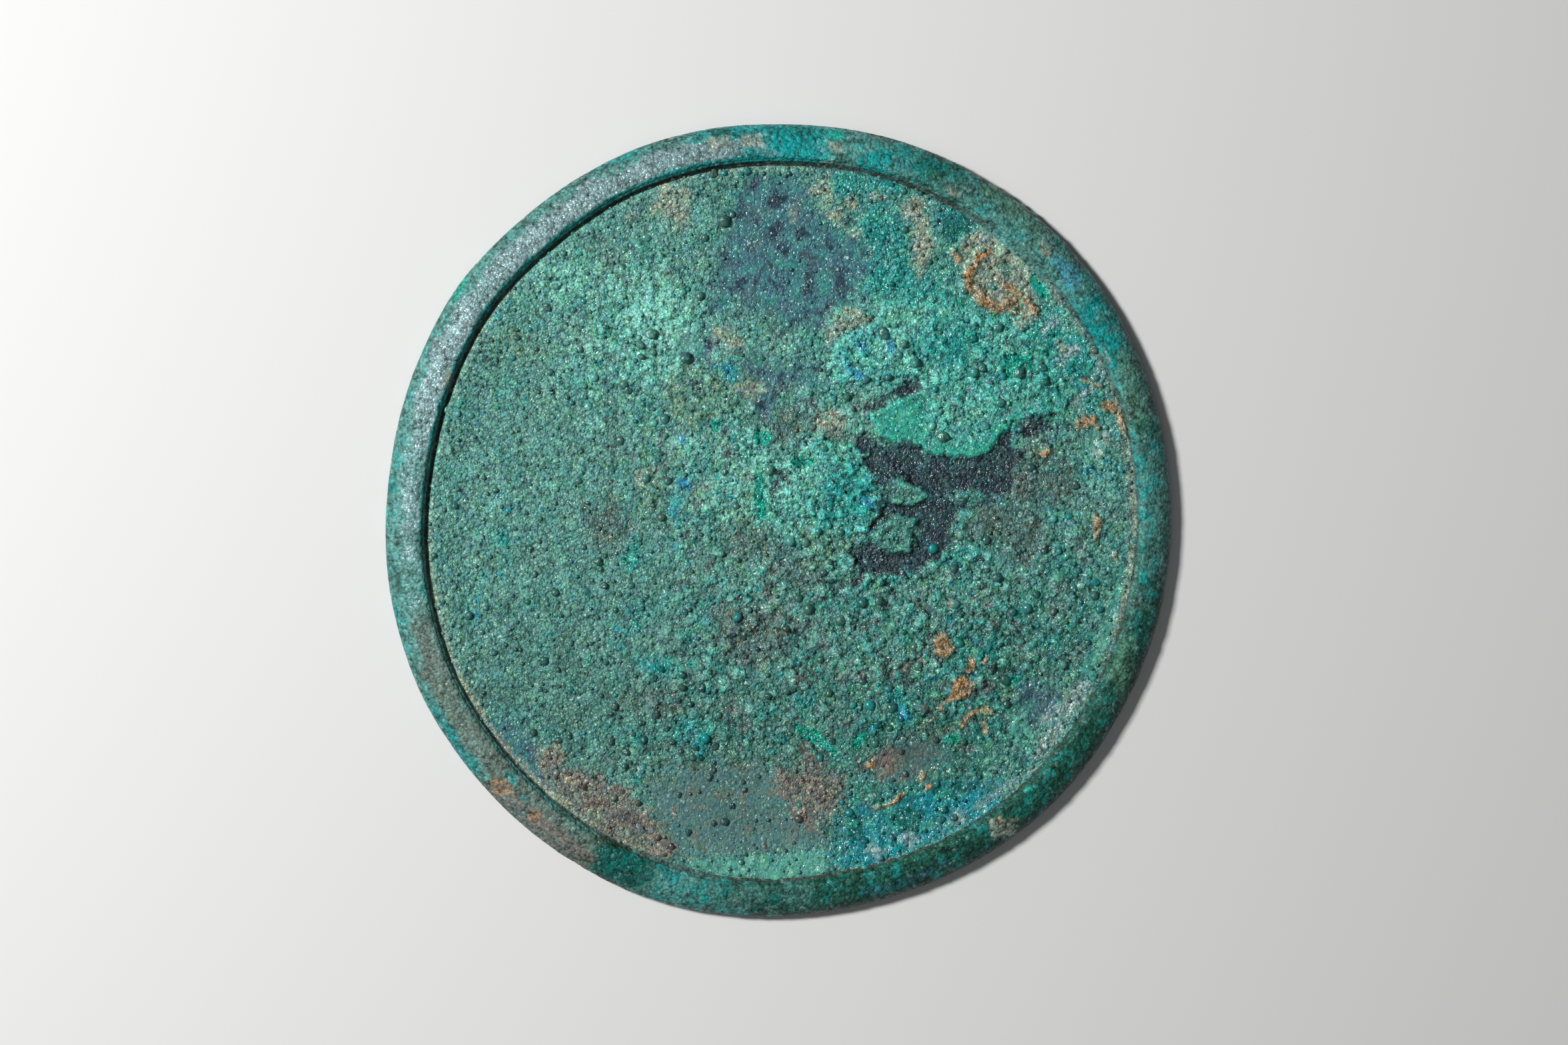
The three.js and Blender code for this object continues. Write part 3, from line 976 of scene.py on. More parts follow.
def crust_shell():
    """A thin round shell: a fine grid inside close rings, with a skirt and a flat bed."""
    rounds = bpy.context.scene.mirror_sizes.rounds
    bpy.ops.object.select_all(action="DESELECT")
    bpy.ops.mesh.primitive_circle_add(
        vertices=rounds, radius=CRUST_RADIUS * MM, fill_type="NOTHING", location=(0, 0, 0))
    crust = bpy.context.object
    crust.name = "field_crust"
    bpy.ops.object.mode_set(mode="EDIT")
    bpy.ops.mesh.select_all(action="SELECT")
    bpy.ops.transform.translate(value=(0, 0, CRUST_TOP * MM))
    radius = CRUST_RADIUS
    while radius > RINGS_END:
        extrude_ring((radius - RING_STEP) / radius)
        radius -= RING_STEP
    bpy.ops.mesh.fill_grid(span=rounds // 4)
    bpy.ops.object.mode_set(mode="OBJECT")
    rows = places(crust.data)
    pick(crust, np.hypot(rows[:, 0], rows[:, 1]) > CRUST_RADIUS - 0.1)
    extrude_ring(1, CRUST_SKIRT * MM)
    extrude_ring(CRUST_FOOT / CRUST_RADIUS, (CRUST_TOP - CRUST_SKIRT - CRUST_BED) * MM)
    bpy.ops.mesh.edge_face_add()
    bpy.ops.mesh.select_all(action="SELECT")
    bpy.ops.mesh.normals_make_consistent(inside=False)
    bpy.ops.object.mode_set(mode="OBJECT")
    in_order(crust)
    return crust


def lay_crust(crust):
    """Lays the flat shell over the field's dish and up the rim's hollow."""
    mesh = crust.data
    rows = places(mesh)
    radius = np.hypot(rows[:, 0], rows[:, 1])
    top = rows[:, 2] > CRUST_TOP - 0.1
    skirt = ~top & (rows[:, 2] > CRUST_TOP - CRUST_SKIRT - 0.1)
    mark(mesh, "top", top & (radius < CRUST_RADIUS - 0.1))
    mark_grounds(mesh)
    climb = np.empty(len(mesh.vertices), np.float32)
    mesh.attributes["climb"].data.foreach_get("value", climb)
    surface = crust_surface(radius, climb)
    rows[top, 2] = surface[top]
    rows[skirt, 2] = surface[skirt] - 0.3
    put(mesh, rows)
    cast_outline(mesh)
    mark_patches(mesh)
    mark_brinks(mesh)


def crust_growth(board, mesh):
    """Raises the plates, lumps, ridges and grains of the crust, and sinks its bare parts."""
    patina = Patina(board)
    place = patina.place
    coarse = reading(board, "coarse")
    dark = patina.within("dark", 0.6, 6) * (1 - patina.within("isle", 0.6))
    bare = dark * 0.75
    bare = bare.most(patina.within("slate", 1.5, 5) * 0.75)
    bare = bare.most(patina.within("ash", 2.5, 5) * 0.85)
    bare = bare.most(patina.within("mint", 0.8) * 0.75).most(patina.within("inky", 0.8) * 0.5)
    near_brink = 1 - reading(board, "brink").ease(1, 11)
    plate = patina.within("crust", 0.2, 2.0) * near_brink
    lip = plate - patina.within("crust", 0.8, 2.0, 1.1) * near_brink
    shaken = patina.shaken()
    lumps = board.domes(shaken, 2.7, 0.25, 0.62)
    knots = board.domes(place, 1.8, 0.08, 0.62)
    beads, _ = board.pebbles(shaken, 1.15)
    grit = board.noise(place, 0.95, 3, 0.6) - 0.5
    broad = board.noise(place, 15, 3, 0.5) - 0.5
    folds = board.noise(place, 4.2, 4, 0.55) - 0.5
    growth = lumps * (coarse * 0.9) + knots * (coarse * 0.6 + 0.05) + beads * (coarse * 0.12 + 0.03)
    growth = growth + grit * (coarse * 0.15 + 0.08) + folds * (coarse * 1.4 + 0.3)
    height = growth * (1 - bare) + broad * 0.30 + grit * 0.06
    height = height + plate * 0.5 + lip * 0.12 - dark * 0.25
    height = height - patina.within("slate", 1.5, 5) * 0.12 - patina.within("emerald", 0.4) * 0.16
    height = height + patina.within("soil", 0.35, 1.8) * (grit * 1.2 + folds * 0.8 + 0.42)
    height = height + patina.within("brown", 0.9, 4) * (grit * 0.5 + folds * 0.4 + 0.1)
    height = height + patina.within("tan", 0.7, 4) * (grit * 0.5 + 0.1)
    height = height + reading(board, "scar") * (grit * 0.7 + folds * 0.5 + 0.26)
    height = height * reading(board, "top")
    # How far each point stands out, kept for the painted shade and light of the finishes.
    mesh = keep(board, mesh, "stand", hollows(board, height, 4))
    return raised(board, mesh, height, (0, 0, 1))


# ---- The casting ---------------------------------------------------------------------


def arc(centre, radii, start, end, steps):
    """Points round a part of an ellipse, leaving out the first one."""
    turns = [math.radians(start + (end - start) * step / steps) for step in range(1, steps + 1)]
    return [(centre[0] + radii[0] * math.cos(turn), centre[1] + radii[1] * math.sin(turn))
            for turn in turns]


def stretch(start, end, steps):
    """Points along a straight line, leaving out the first one."""
    shares = [step / steps for step in range(1, steps + 1)]
    return [(start[0] + (end[0] - start[0]) * share, start[1] + (end[1] - start[1]) * share)
            for share in shares]


def section():
    """The casting's section from under the crust, over the rim, to the flat back."""
    size = bpy.context.scene.mirror_sizes
    foot = size.radius - size.foot_round
    floor = (CRUST_BED - 0.1) * MM
    seat = (65.7 * MM, floor)
    shelf = (66.1 * MM, size.field_thickness - 0.25 * MM)
    border = (size.field_radius, size.field_thickness)
    points = [(60 * MM, floor), seat, shelf]
    points += stretch(shelf, border, 3)
    points += arc((size.field_radius, size.field_thickness + size.fillet_radius),
                  (size.fillet_radius, size.fillet_radius), -90, 0, 5)
    lip = arc((size.crest_radius, size.crest_height - size.crest_round),
              (size.crest_round, size.crest_round), 180, 90, 6)
    points += stretch(points[-1], lip[0], 3)
    points += lip[1:]
    slope = arc((size.crest_radius, size.edge_height),
                (size.radius - size.crest_radius, size.crest_height - size.edge_height), 90, 0, 24)
    points += slope
    points += arc((foot, size.edge_height), (size.foot_round, size.edge_height), 0, -90, 7)
    points += stretch(points[-1], (64 * MM, 0), 5)
    return points


def turned_casting():
    """The section turned round the disc's axis, ring by ring, and closed at both ends."""
    turns = bpy.context.scene.mirror_sizes.turns
    points = section()
    bpy.ops.object.select_all(action="DESELECT")
    bpy.ops.mesh.primitive_circle_add(
        vertices=turns, radius=points[0][0], fill_type="NOTHING", location=(0, 0, 0))
    casting = bpy.context.object
    casting.name = "casting"
    bpy.ops.object.mode_set(mode="EDIT")
    bpy.ops.mesh.select_all(action="SELECT")
    bpy.ops.transform.translate(value=(0, 0, points[0][1]))
    for start, end in zip(points, points[1:]):
        extrude_ring(end[0] / start[0], start[1] - end[1])
    bpy.ops.mesh.edge_face_add()
    bpy.ops.object.mode_set(mode="OBJECT")
    rows = places(casting.data)
    radius = np.hypot(rows[:, 0], rows[:, 1])
    pick(casting, np.abs(radius - points[0][0] / MM) < 0.01)
    bpy.ops.mesh.edge_face_add()
    bpy.ops.mesh.select_all(action="SELECT")
    bpy.ops.mesh.normals_make_consistent(inside=False)
    bpy.ops.object.mode_set(mode="OBJECT")
    in_order(casting)
    mark(casting.data, "rho", radius)
    return casting


def casting_wear(board, mesh):
    """Gives the casting its uneven skin: swells, pits and lumps, and crust over the groove."""
    patina = Patina(board, flat=False)
    place = patina.place
    rho = reading(board, "rho")
    buried = reading(board, "buried")
    height_here = board.add("ShaderNodeSeparateXYZ", {}, {0: place}).out(2)
    seen = rho.ease(66.2, 67.2) * height_here.ease(0.3, 1.6)
    broad = board.noise(place, 9, 3, 0.5) - 0.5
    folds = board.noise(place, 3.2, 4, 0.6) - 0.5
    grit = board.noise(place, 0.9, 3, 0.6) - 0.5
    lumps = board.domes(place, 2.2, 0.2, 0.6)
    rough = reading(board, "deep") * 0.5 + buried
    height = broad * 0.22 + folds * (rough * 0.3 + 0.2) + grit * 0.16 + lumps * (rough * 0.3)
    nicks = board.noise(place, 1.8, 2, 0.5).ease(0.66, 0.8)
    height = (height - nicks * 0.2) * seen
    normal = board.add("GeometryNodeInputNormal").out()
    # How far each point stands out, kept for the rim's painted shade and light.
    mesh = keep(board, mesh, "stand", hollows(board, height, 5))
    mesh = raised(board, mesh, height, normal)
    fill = rho.ease(65.8, 67.2) * (1 - rho.ease(67.9, 69.6))
    return raised(board, mesh, fill * buried * (folds * 1.2 + 0.75), (0, 0, 1))


# ---- Warts and grains ----------------------------------------------------------------


def chance(board, least, most, seed):
    """A number of its own for every point."""
    node = board.add(
        "FunctionNodeRandomValue", {"data_type": "FLOAT"}, {2: least, 3: most, "Seed": seed})
    return node.out(1)


def grown(board, points, rounds, width, seed, low=0.6, high=1.05, lumpy=0.0):
    """Puts a lopsided bump of its own size and turn at every point."""
    bump = board.add(
        "GeometryNodeMeshIcoSphere", {}, {"Radius": 0.5 * MM, "Subdivisions": rounds}).out()
    bump = raised(board, bump, 0.1, (0, 0, 1))
    across = width * chance(board, 0.85, 1.2, seed + 1)
    scale = board.add(
        "ShaderNodeCombineXYZ", {},
        {0: across, 1: width, 2: width * chance(board, low, high, seed + 2)})
    turn = board.add("ShaderNodeCombineXYZ", {}, {2: chance(board, 0, math.tau, seed + 3)})
    points = keep(board, points, "chance", chance(board, 0, 1, seed + 4))
    standing = board.add(
        "GeometryNodeInstanceOnPoints", {},
        {"Points": points, "Instance": bump, "Rotation": turn.out(), "Scale": scale.out()}).out()
    mesh = board.add("GeometryNodeRealizeInstances", {}, {0: standing}).out()
    if lumpy:
        lumps = board.noise(place_of(board, flat=False), 0.8, 2, 0.5) - 0.5
        mesh = raised(board, mesh, lumps * lumpy, board.add("GeometryNodeInputNormal").out())
    return mesh


def scattered(board, mesh, apart, density, seed):
    """Points strewn over the crust, no two closer than `apart` millimetres."""
    return board.add(
        "GeometryNodeDistributePointsOnFaces", {"distribute_method": "POISSON"},
        {"Mesh": mesh, "Distance Min": apart * MM, "Density Max": 1 / (apart * MM) ** 2,
         "Density Factor": density, "Seed": seed}).out()


def open_ground(board):
    """Where the crust may grow warts: little on its smooth parts, and none under it."""
    patina = Patina(board)
    bare = patina.within("slate", 0.8).most(patina.within("ash", 1.0) * 0.7)
    bare = bare.most(patina.within("dark", 0.5) * 0.6).most(patina.within("mint", 0.5) * 0.8)
    return reading(board, "top") * (1 - bare * 0.9)


def small_warts(board, mesh):
    """Small warts all over the crust, in clumps."""
    clump = board.noise(Patina(board).place, 7, 3, 0.6).ease(0.38, 0.64)
    small = scattered(board, mesh, 1.3, open_ground(board) * (clump * 0.7 + 0.15), 3)
    return grown(board, small, 1, chance(board, 0.5, 1.0, 40), 10, 0.68, 1.05)


def wide_warts(board, mesh):
    """Wider warts, most of them where the growth is coarse."""
    coarse = reading(board, "coarse")
    clump = board.noise(Patina(board).place, 6, 3, 0.6).ease(0.38, 0.64)
    share = chance(board, 0, 1, 50)
    width = share * share * (coarse * 0.7 + 0.5) + 0.95
    density = open_ground(board) * (clump * (coarse * 0.6 + 0.25) + 0.04)
    wide = scattered(board, mesh, 2.2, density, 7)
    return grown(board, wide, 2, width, 14, 0.55, 0.88, 0.5)


def grain_field(board, mesh):
    """The finest grains, close together."""
    patina = Patina(board)
    bare = patina.within("slate", 0.8) * 0.6
    bare = bare.most(patina.within("ash", 1.0) * 0.5).most(patina.within("dark", 0.5) * 0.3)
    density = reading(board, "top") * (1 - bare)
    grains = scattered(board, mesh, 0.85, density, 5)
    return grown(board, grains, 1, chance(board, 0.22, 0.46, 60), 20)


def great_warts(board, mesh):
    """The great warts, each at its own place."""
    return grown(board, mesh, 3, reading(board, "width") * 0.88, 30, 0.5, 0.68, 1.0)


# ---- Finishes ------------------------------------------------------------------------


def new_finish(name):
    """A material with a board to wire it on and its one surface shader."""
    material = bpy.data.materials.new(name)
    material.use_nodes = True
    material.node_tree.nodes.clear()
    return material, Board(material.node_tree)


def close_finish(board, colour, roughness, bump, metallic=0.0, specular=0.5):
    """Wires the surface shader to the output."""
    relief = board.add("ShaderNodeBump", {}, {"Height": bump, "Distance": MM, "Strength": 1.0})
    shader = board.add(
        "ShaderNodeBsdfPrincipled", {},
        {"Base Color": colour, "Roughness": roughness, "Metallic": metallic,
         "Specular IOR Level": specular, "Normal": relief.out()})
    board.add("ShaderNodeOutputMaterial", {}, {"Surface": shader.out()})


def dressed(thing, material):
    """Gives a piece its finish and its soft shading."""
    thing.data.materials.clear()
    thing.data.materials.append(material)
    bpy.ops.object.select_all(action="DESELECT")
    thing.select_set(True)
    bpy.context.view_layer.objects.active = thing
    bpy.ops.object.shade_smooth()


def hues():
    """The patina's colours by name."""
    colours = bpy.context.scene.patina_colours
    return {name: as_colour(getattr(colours, name)) for name in PatinaColours.__annotations__}


def growth_colour(board, patina, hue):
    """Colour and roughness of what has grown on the field, before its small shading."""
    place = patina.place
    broad = board.noise(place, 9, 5, 0.62)
    blotch = board.noise(place, 4.3, 5, 0.65)
    cloud = board.noise(place, 1.5, 4, 0.6)
    drift = board.noise(place, 6.1, 5, 0.66)
    tide = board.noise(place, 3.1, 4, 0.6)
    _, fleck = board.cells(place, 1.1)
    tone = broad * 0.35 + blotch * 0.4 + cloud * 0.25 + reading(board, "light") * 0.6
    motley = (reading(board, "coarse") * 1.3 - 0.1 + reading(board, "motley")).least(1.3)
    tone = (tone - 0.47) * (motley * 0.3 + reading(board, "clear") * 0.5 + 0.7) + 0.47
    colour = board.mix(hue["moss"], hue["green"], tone.ease(0.34, 0.52))
    colour = board.mix(colour, hue["pale"], tone.ease(0.52, 0.72) * 0.8)
    drift = drift + (cloud - 0.5) * 0.4
    colour = board.mix(colour, hue["teal"], drift.ease(0.50, 0.68) * (motley * 0.35 + 0.3))
    hint = (cloud * 0.6 + tide * 0.4).ease(0.42, 0.58)
    colour = board.mix(colour, hue["leaf"], tide.ease(0.52, 0.66) * motley * 0.5)
    colour = board.mix(colour, hue["brown"], (1 - drift).ease(0.52, 0.70) * motley * 0.55)
    colour = board.mix(colour, hue["dusk"], (1 - tide).ease(0.55, 0.68) * motley * 0.6)
    colour = board.mix(colour, hue["crust"], blotch.ease(0.56, 0.68) * motley * 0.5)
    clear = reading(board, "clear") * (drift.ease(0.38, 0.58) * 0.7 + 0.3)
    clean = board.mix(hue["teal"], hue["mint"], tide.ease(0.45, 0.6))
    colour = board.mix(colour, clean, clear * 0.5)
    colour = board.mix(colour, hue["teal"], fleck.ease(0.88, 0.96) * (motley * 0.3 + 0.2))
    rare = (1 - fleck).ease(0.97, 0.985) * drift.ease(0.45, 0.55)
    colour = board.mix(colour, hue["sea"], rare * 0.8)
    rough = 0.46 - reading(board, "gloss") * 0.24
    # Of each kind: what it turns into in places, how soft its border is, how far that wanders,
    # its strength, how broken it is and how rough.
    layers = (
        ("slate", "teal", 2.2, 9.0, 1.00, 0.5, 0.34), ("ash", "brown", 2.5, 9.0, 0.90, 0.4, 0.46),
        ("crust", "pale", 0.7, 4.5, 0.76, 0.6, 0.28), ("pale", "mint", 3.0, 9.0, 0.90, 0.5, 0.30),
        ("dusk", "brown", 2.5, 9.0, 0.85, 0.5, 0.34), ("leaf", "brown", 2.0, 8.0, 0.60, 0.7, 0.40),
        ("teal", "crust", 1.4, 6.0, 0.95, 0.5, 0.27), ("sea", "crust", 0.8, 6.0, 0.95, 0.6, 0.20),
        ("meadow", "pale", 0.8, 4.0, 0.85, 0.4, 0.34), ("mint", "crust", 0.6, 2.5, 0.92, 0.2, 0.34),
        ("dark", "slate", 0.9, 7.0, 0.96, 0.2, 0.36), ("isle", "crust", 0.6, 4.0, 0.95, 0.4, 0.30),
        ("brown", "tan", 1.2, 7.0, 0.92, 0.4, 0.48), ("tan", "pale", 1.0, 5.0, 0.92, 0.4, 0.30),
        ("emerald", "teal", 0.4, 1.4, 1.00, 0.1, 0.20), ("inky", "teal", 0.7, 4.0, 0.92, 0.4, 0.22),
        # The pale glaze layer on the next line is partly a painted highlight.
        ("azurite", "sea", 0.6, 2.5, 1.00, 0.3, 0.32), ("frost", "meadow", 0.8, 4.0, 0.85, 0.7, 0.22),
        ("soil", "tan", 0.4, 2.4, 1.00, 0.35, 0.24),
    )
    patchy = (cloud * 0.8 + blotch * 1.2).ease(0.84, 1.14)
    turning = tide.ease(0.50, 0.66) * 0.6
    for name, other, soft, wander, strength, broken, finish in layers:
        mask = patina.within(name, soft, wander)
        mask = mask * (patchy * (broken * strength) + (1 - broken) * strength)
        colour = board.mix(colour, board.mix(hue[name], hue[other], turning), mask)
        rough = rough + mask * (finish - rough)
    shadowy = patina.within("slate", 2.2, 9) * (1 - tide).ease(0.50, 0.64)
    colour = board.mix(colour, hue["dark"], shadowy * 0.85)
    misty = patina.within("slate", 2.2, 9) * blotch.ease(0.50, 0.62)
    colour = board.mix(colour, hue["ash"], misty * 0.7)
    seam = reading(board, "seam") * (reading(board, "edge") + (cloud - 0.5) * 3).ease(66.0, 67.0)
    colour = board.mix(colour, hue["tan"], seam * 0.7)
    colour = board.tinted(colour, board.mix(hue["cool"], hue["warm"], hint), 0.42)
    scar = reading(board, "scar") * cloud.ease(0.45, 0.6)
    colour = board.mix(colour, hue["azurite"], scar * 0.35)
    return colour, rough


def field_finish():
    """The crust of the field: every kind of patina, on sandy grains and small bumps,
    with painted shade in its chinks and hollows, and painted glints.
    """
    material, board = new_finish("field_patina")
    hue = hues()
    patina = Patina(board)
    place = patina.place
    colour, rough = growth_colour(board, patina, hue)
    coarse = reading(board, "coarse")
    beads, own = board.pebbles(patina.shaken(), 0.62)
    bumps = board.domes(place, 1.3, 0.04, 0.50)
    warts = board.domes(place, 1.9, 0.06, 0.28)
    grit = board.noise(place, 1.0, 2, 0.5) - 0.5
    dust = board.noise(place, 0.36, 1, 0.5) - 0.5
    stand = reading(board, "stand")
    smooth = patina.within("ash", 2, 6).most(patina.within("slate", 2, 9) * 0.8)
    smooth = smooth.most(patina.within("meadow", 1, 4)).most(patina.within("mint", 1, 3) * 0.7)
    smooth = smooth.most(patina.within("sea", 1, 5) * 0.5)
    calm = 1 - smooth * 0.45
    # Painted shade and light: darker in the chinks between grains and in hollows, lighter where the
    # crust stands out; the rest is random tone and the dark warts.
    shade = (beads - 0.72) * 0.7 + (own - 0.5) * 0.4 + grit * 0.25 + dust * 1.1 - warts * 0.6
    shade = (shade * calm + stand * 1.6 + 1.0).most(0.15).least(2.4)
    colour = board.tinted(colour, board.mix(hue["cool"], hue["warm"], own.ease(0.2, 0.8)), 0.45)
    colour = board.scaled(colour, shade * 1.16)
    # Painted glints: near-white points on the tops of some grains, more where the green is clear.
    painted_glints = own.ease(0.84 - smooth * 0.06, 0.92) * beads.ease(0.82, 0.94)
    colour = board.mix(colour, hue["glint"], painted_glints * (reading(board, "clear") * 0.4 + 0.35))
    rough = (rough + 0.04 - own.ease(0.4, 0.95) * 0.3 - warts * 0.15).most(0.13)
    relief = beads * 0.15 + dust * 0.24 + grit * (coarse * 0.12 + 0.13)
    relief = (relief + bumps * (coarse * 0.26 + 0.04) + warts * 0.26) * calm
    close_finish(board, colour, rough, relief)
    return material


def wart_finish(name, depth, gloss, light):
    """Warts: the colour of what they grow on, but for a share darker and glossier."""
    material, board = new_finish(name)
    hue = hues()
    patina = Patina(board)
    colour, rough = growth_colour(board, patina, hue)
    own = reading(board, "chance")
    grit = board.noise(patina.place, 0.4, 3, 0.6) - 0.5
    shade = 1.1 - own.ease(light, light + 0.5) * depth + grit * 1.2
    colour = board.scaled(colour, shade.most(0.1))
    colour = board.mix(colour, hue["teal"], own.ease(0.88, 0.97) * 0.7)
    close_finish(board, colour, (rough * 0.4 + 0.22 - gloss + grit * 0.4).most(0.14), grit * 0.1)
    return material


def casting_finish():
    """The rim: a grey sheen, partly wear and partly painted highlight, deep and bright greens by
    direction, dirt and painted shadow in the groove, painted shade and painted glints.
    """
    material, board = new_finish("rim_patina")
    hue = hues()
    patina = Patina(board, flat=False)
    place = patina.place
    rho = reading(board, "rho")
    blotch = board.noise(place, 5, 5, 0.65)
    drift = board.noise(place, 3.4, 5, 0.65)
    cloud = board.noise(place, 1.5, 4, 0.65)
    grit = board.noise(place, 0.95, 2, 0.5) - 0.5
    dust = board.noise(place, 0.36, 1, 0.5) - 0.5
    beads, own = board.pebbles(place, 0.62)
    wander = blotch - 0.5
    tone = blotch * 0.7 + cloud * 0.3
    colour = board.mix(hue["moss"], hue["green"], tone.ease(0.36, 0.56))
    colour = board.mix(colour, hue["leaf"], tone.ease(0.54, 0.66) * 0.5)
    silver = reading(board, "silver")
    deep = reading(board, "deep")
    bright = reading(board, "bright")
    colour = board.mix(colour, hue["deep"], (deep + wander * 2).ease(0.2, 0.7) * 0.9)
    colour = board.mix(colour, hue["crust"], (bright + wander * 2).ease(0.3, 0.8) * 0.85)
    colour = board.mix(colour, hue["teal"], (drift + (cloud - 0.5) * 0.5).ease(0.50, 0.68) * 0.55)
    rusty = (1 - drift).ease(0.54, 0.74) * (0.4 - deep.least(1) * 0.35)
    colour = board.mix(colour, hue["brown"], rusty)
    cyan = (reading(board, "cyan") + wander * 2).ease(0.2, 0.6)
    colour = board.mix(colour, hue["teal"], cyan * (cloud.ease(0.3, 0.5) * 0.5 + 0.5))
    # The crest's band of wear, then the grey sheen over it: partly lighter patina from wear and partly
    # a painted highlight on the side that faces the key lamp.
    worn_and_lit = rho.ease(68.3, 69.2) * (1 - (rho + wander * 8).ease(72.0, 74.4))
    clay = (worn_and_lit * reading(board, "clay") + (drift - 0.5) * 0.9).ease(0.25, 0.7)
    worn_and_lit = (worn_and_lit * silver + (drift - 0.5) * 1.7 + (cloud - 0.5) * 0.8).ease(0.3, 0.85)
    sheen = board.mix(hue["silver"], hue["frost"], blotch.ease(0.5, 0.64) * 0.5)
    colour = board.mix(colour, hue["clay"], clay * 0.8)
    colour = board.mix(colour, sheen, worn_and_lit * 0.85)
    inner = rho.ease(67.5, 68.2) * (1 - (rho + wander * 2).ease(68.7, 69.4)) * silver
    colour = board.mix(colour, hue["teal"], (inner + (cloud - 0.5)).ease(0.35, 0.7) * 0.8)
    rough = 0.46 - worn_and_lit * 0.08
    # Of each kind: how soft its border is, how ragged, its strength and how rough it is.
    layers = (
        ("slate", 0.5, 3.0, 0.5, 0.42), ("teal", 0.5, 3.0, 0.9, 0.32), ("brown", 0.8, 4.0, 0.8, 0.5),
        ("tan", 0.5, 3.0, 0.8, 0.45), ("emerald", 0.4, 2.0, 0.9, 0.28),
        ("azurite", 0.7, 4.0, 0.45, 0.36), ("leaf", 1.2, 5.0, 0.7, 0.4),
        ("inky", 0.5, 3.0, 0.95, 0.3), ("soil", 0.5, 3.0, 0.6, 0.4),
    )
    rim = rho.ease(67.8, 68.8)
    for name, soft, ragged, strength, finish in layers:
        mask = patina.within(name, soft, ragged) * (rim * strength)
        mask = mask * (cloud.ease(0.35, 0.6) * 0.6 + 0.4)
        colour = board.mix(colour, hue[name], mask)
        rough = rough + mask * (finish - rough)
    # Painted shade and light: darker in the chinks between grains, in hollows and towards the steep
    # outer edge, lighter where the skin stands out; the rest is random tone.
    shade = (beads - 0.72) * 0.5 + (own - 0.5) * 0.5 + grit * 0.9 + dust * 1.1
    shade = shade + (cloud - 0.5) * 1.4 + (drift - 0.5) * 0.9 - rho.ease(71.5, 74.0) * 0.12
    # The groove: brown dirt, and a painted shadow that darkens it, most on the key lamp's side.
    groove = 1 - (rho + (cloud - 0.5) * 0.6).ease(67.6, 68.3)
    groove = groove * (1 - reading(board, "buried"))
    colour = board.mix(colour, hue["brown"], groove * 0.5)
    shade = (shade + reading(board, "stand") * 2.0 + 1.0).most(0.2).least(2.2)
    colour = board.scaled(colour, shade * (1 - groove * (reading(board, "gloom") * 0.5 + 0.4)))
    # Painted glints: pale points on some of the rim's grains, most on its grey sheen.
    painted_glints = own.ease(0.88, 0.96) * (grit + 0.5).ease(0.4, 0.6)
    colour = board.mix(colour, hue["frost"], painted_glints * (worn_and_lit * 0.4 + 0.2))
    rough = (rough + 0.04 - own.ease(0.4, 0.95) * 0.28).most(0.15)
    relief = beads * 0.10 + grit * 0.24 + dust * 0.16
    close_finish(board, colour, rough, relief, worn_and_lit * 0.15, 0.2)
    return material


# ---- Operators -----------------------------------------------------------------------


def hand_over(piece, stands_for=None):
    """Lets the piece ride on the frame, and hides the CAD part that it stands for, if any."""
    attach(piece, "root")
    if stands_for:
        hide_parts(stands_for)


class MIRROR_OT_casting(bpy.types.Operator):
    """Turns the casting from its section and gives it its uneven, weathered skin"""

    bl_idname = "mirror.casting"
    bl_label = "Casting"

    def execute(self, context):
        casting = turned_casting()
        mesh = casting.data
        mark_grounds(mesh)
        cast_outline(mesh)
        mark_patches(mesh)
        apply_nodes(casting, "casting_wear", casting_wear)
        lay_out_map(casting, 75, 0.82, 65)
        dressed(casting, casting_finish())
        hand_over(casting, "mirror_disc")
        return {"FINISHED"}


class MIRROR_OT_crust(bpy.types.Operator):
    """Lays the patinated crust in the sunken field"""

    bl_idname = "mirror.crust"
    bl_label = "Field crust"

    def execute(self, context):
        crust = crust_shell()
        lay_crust(crust)
        apply_nodes(crust, "crust_growth", crust_growth)
        lay_out_map(crust, 69, 0.14, 0)
        dressed(crust, field_finish())
        hand_over(crust)
        return {"FINISHED"}


def copy_of(name, new_name):
    """A copy of a piece with a mesh of its own."""
    copy = bpy.data.objects[name].copy()
    copy.data = bpy.data.objects[name].data.copy()
    copy.name = new_name
    copy.parent = None
    bpy.context.scene.collection.objects.link(copy)
    return copy


def finish_growth(thing, finish):
    """Marks scattered growth with the patina under it, and dresses it."""
    mark_patches(thing.data)
    mark_brinks(thing.data)
    mark_grounds(thing.data)
    lay_out_map(thing, 69, 0.14, 0)
    dressed(thing, finish)
    hand_over(thing)


# The scattered pieces: the growth of each, how dark, how glossy and how often light it is.
GROWTHS = {
    "wide_warts": (wide_warts, 0.62, 0.17, 0.05), "small_warts": (small_warts, 0.66, 0.14, 0.0),
    "grains": (grain_field, 0.5, 0.06, 0.1),
}


class MIRROR_OT_warts(bpy.types.Operator):
    """Scatters the warts and the fine grains over the crust"""

    bl_idname = "mirror.warts"
    bl_label = "Warts and grains"

    def execute(self, context):
        for name, (growth, depth, gloss, light) in GROWTHS.items():
            piece = copy_of("field_crust", name)
            apply_nodes(piece, name, growth)
            finish_growth(piece, wart_finish(name + "_patina", depth, gloss, light))
        return {"FINISHED"}


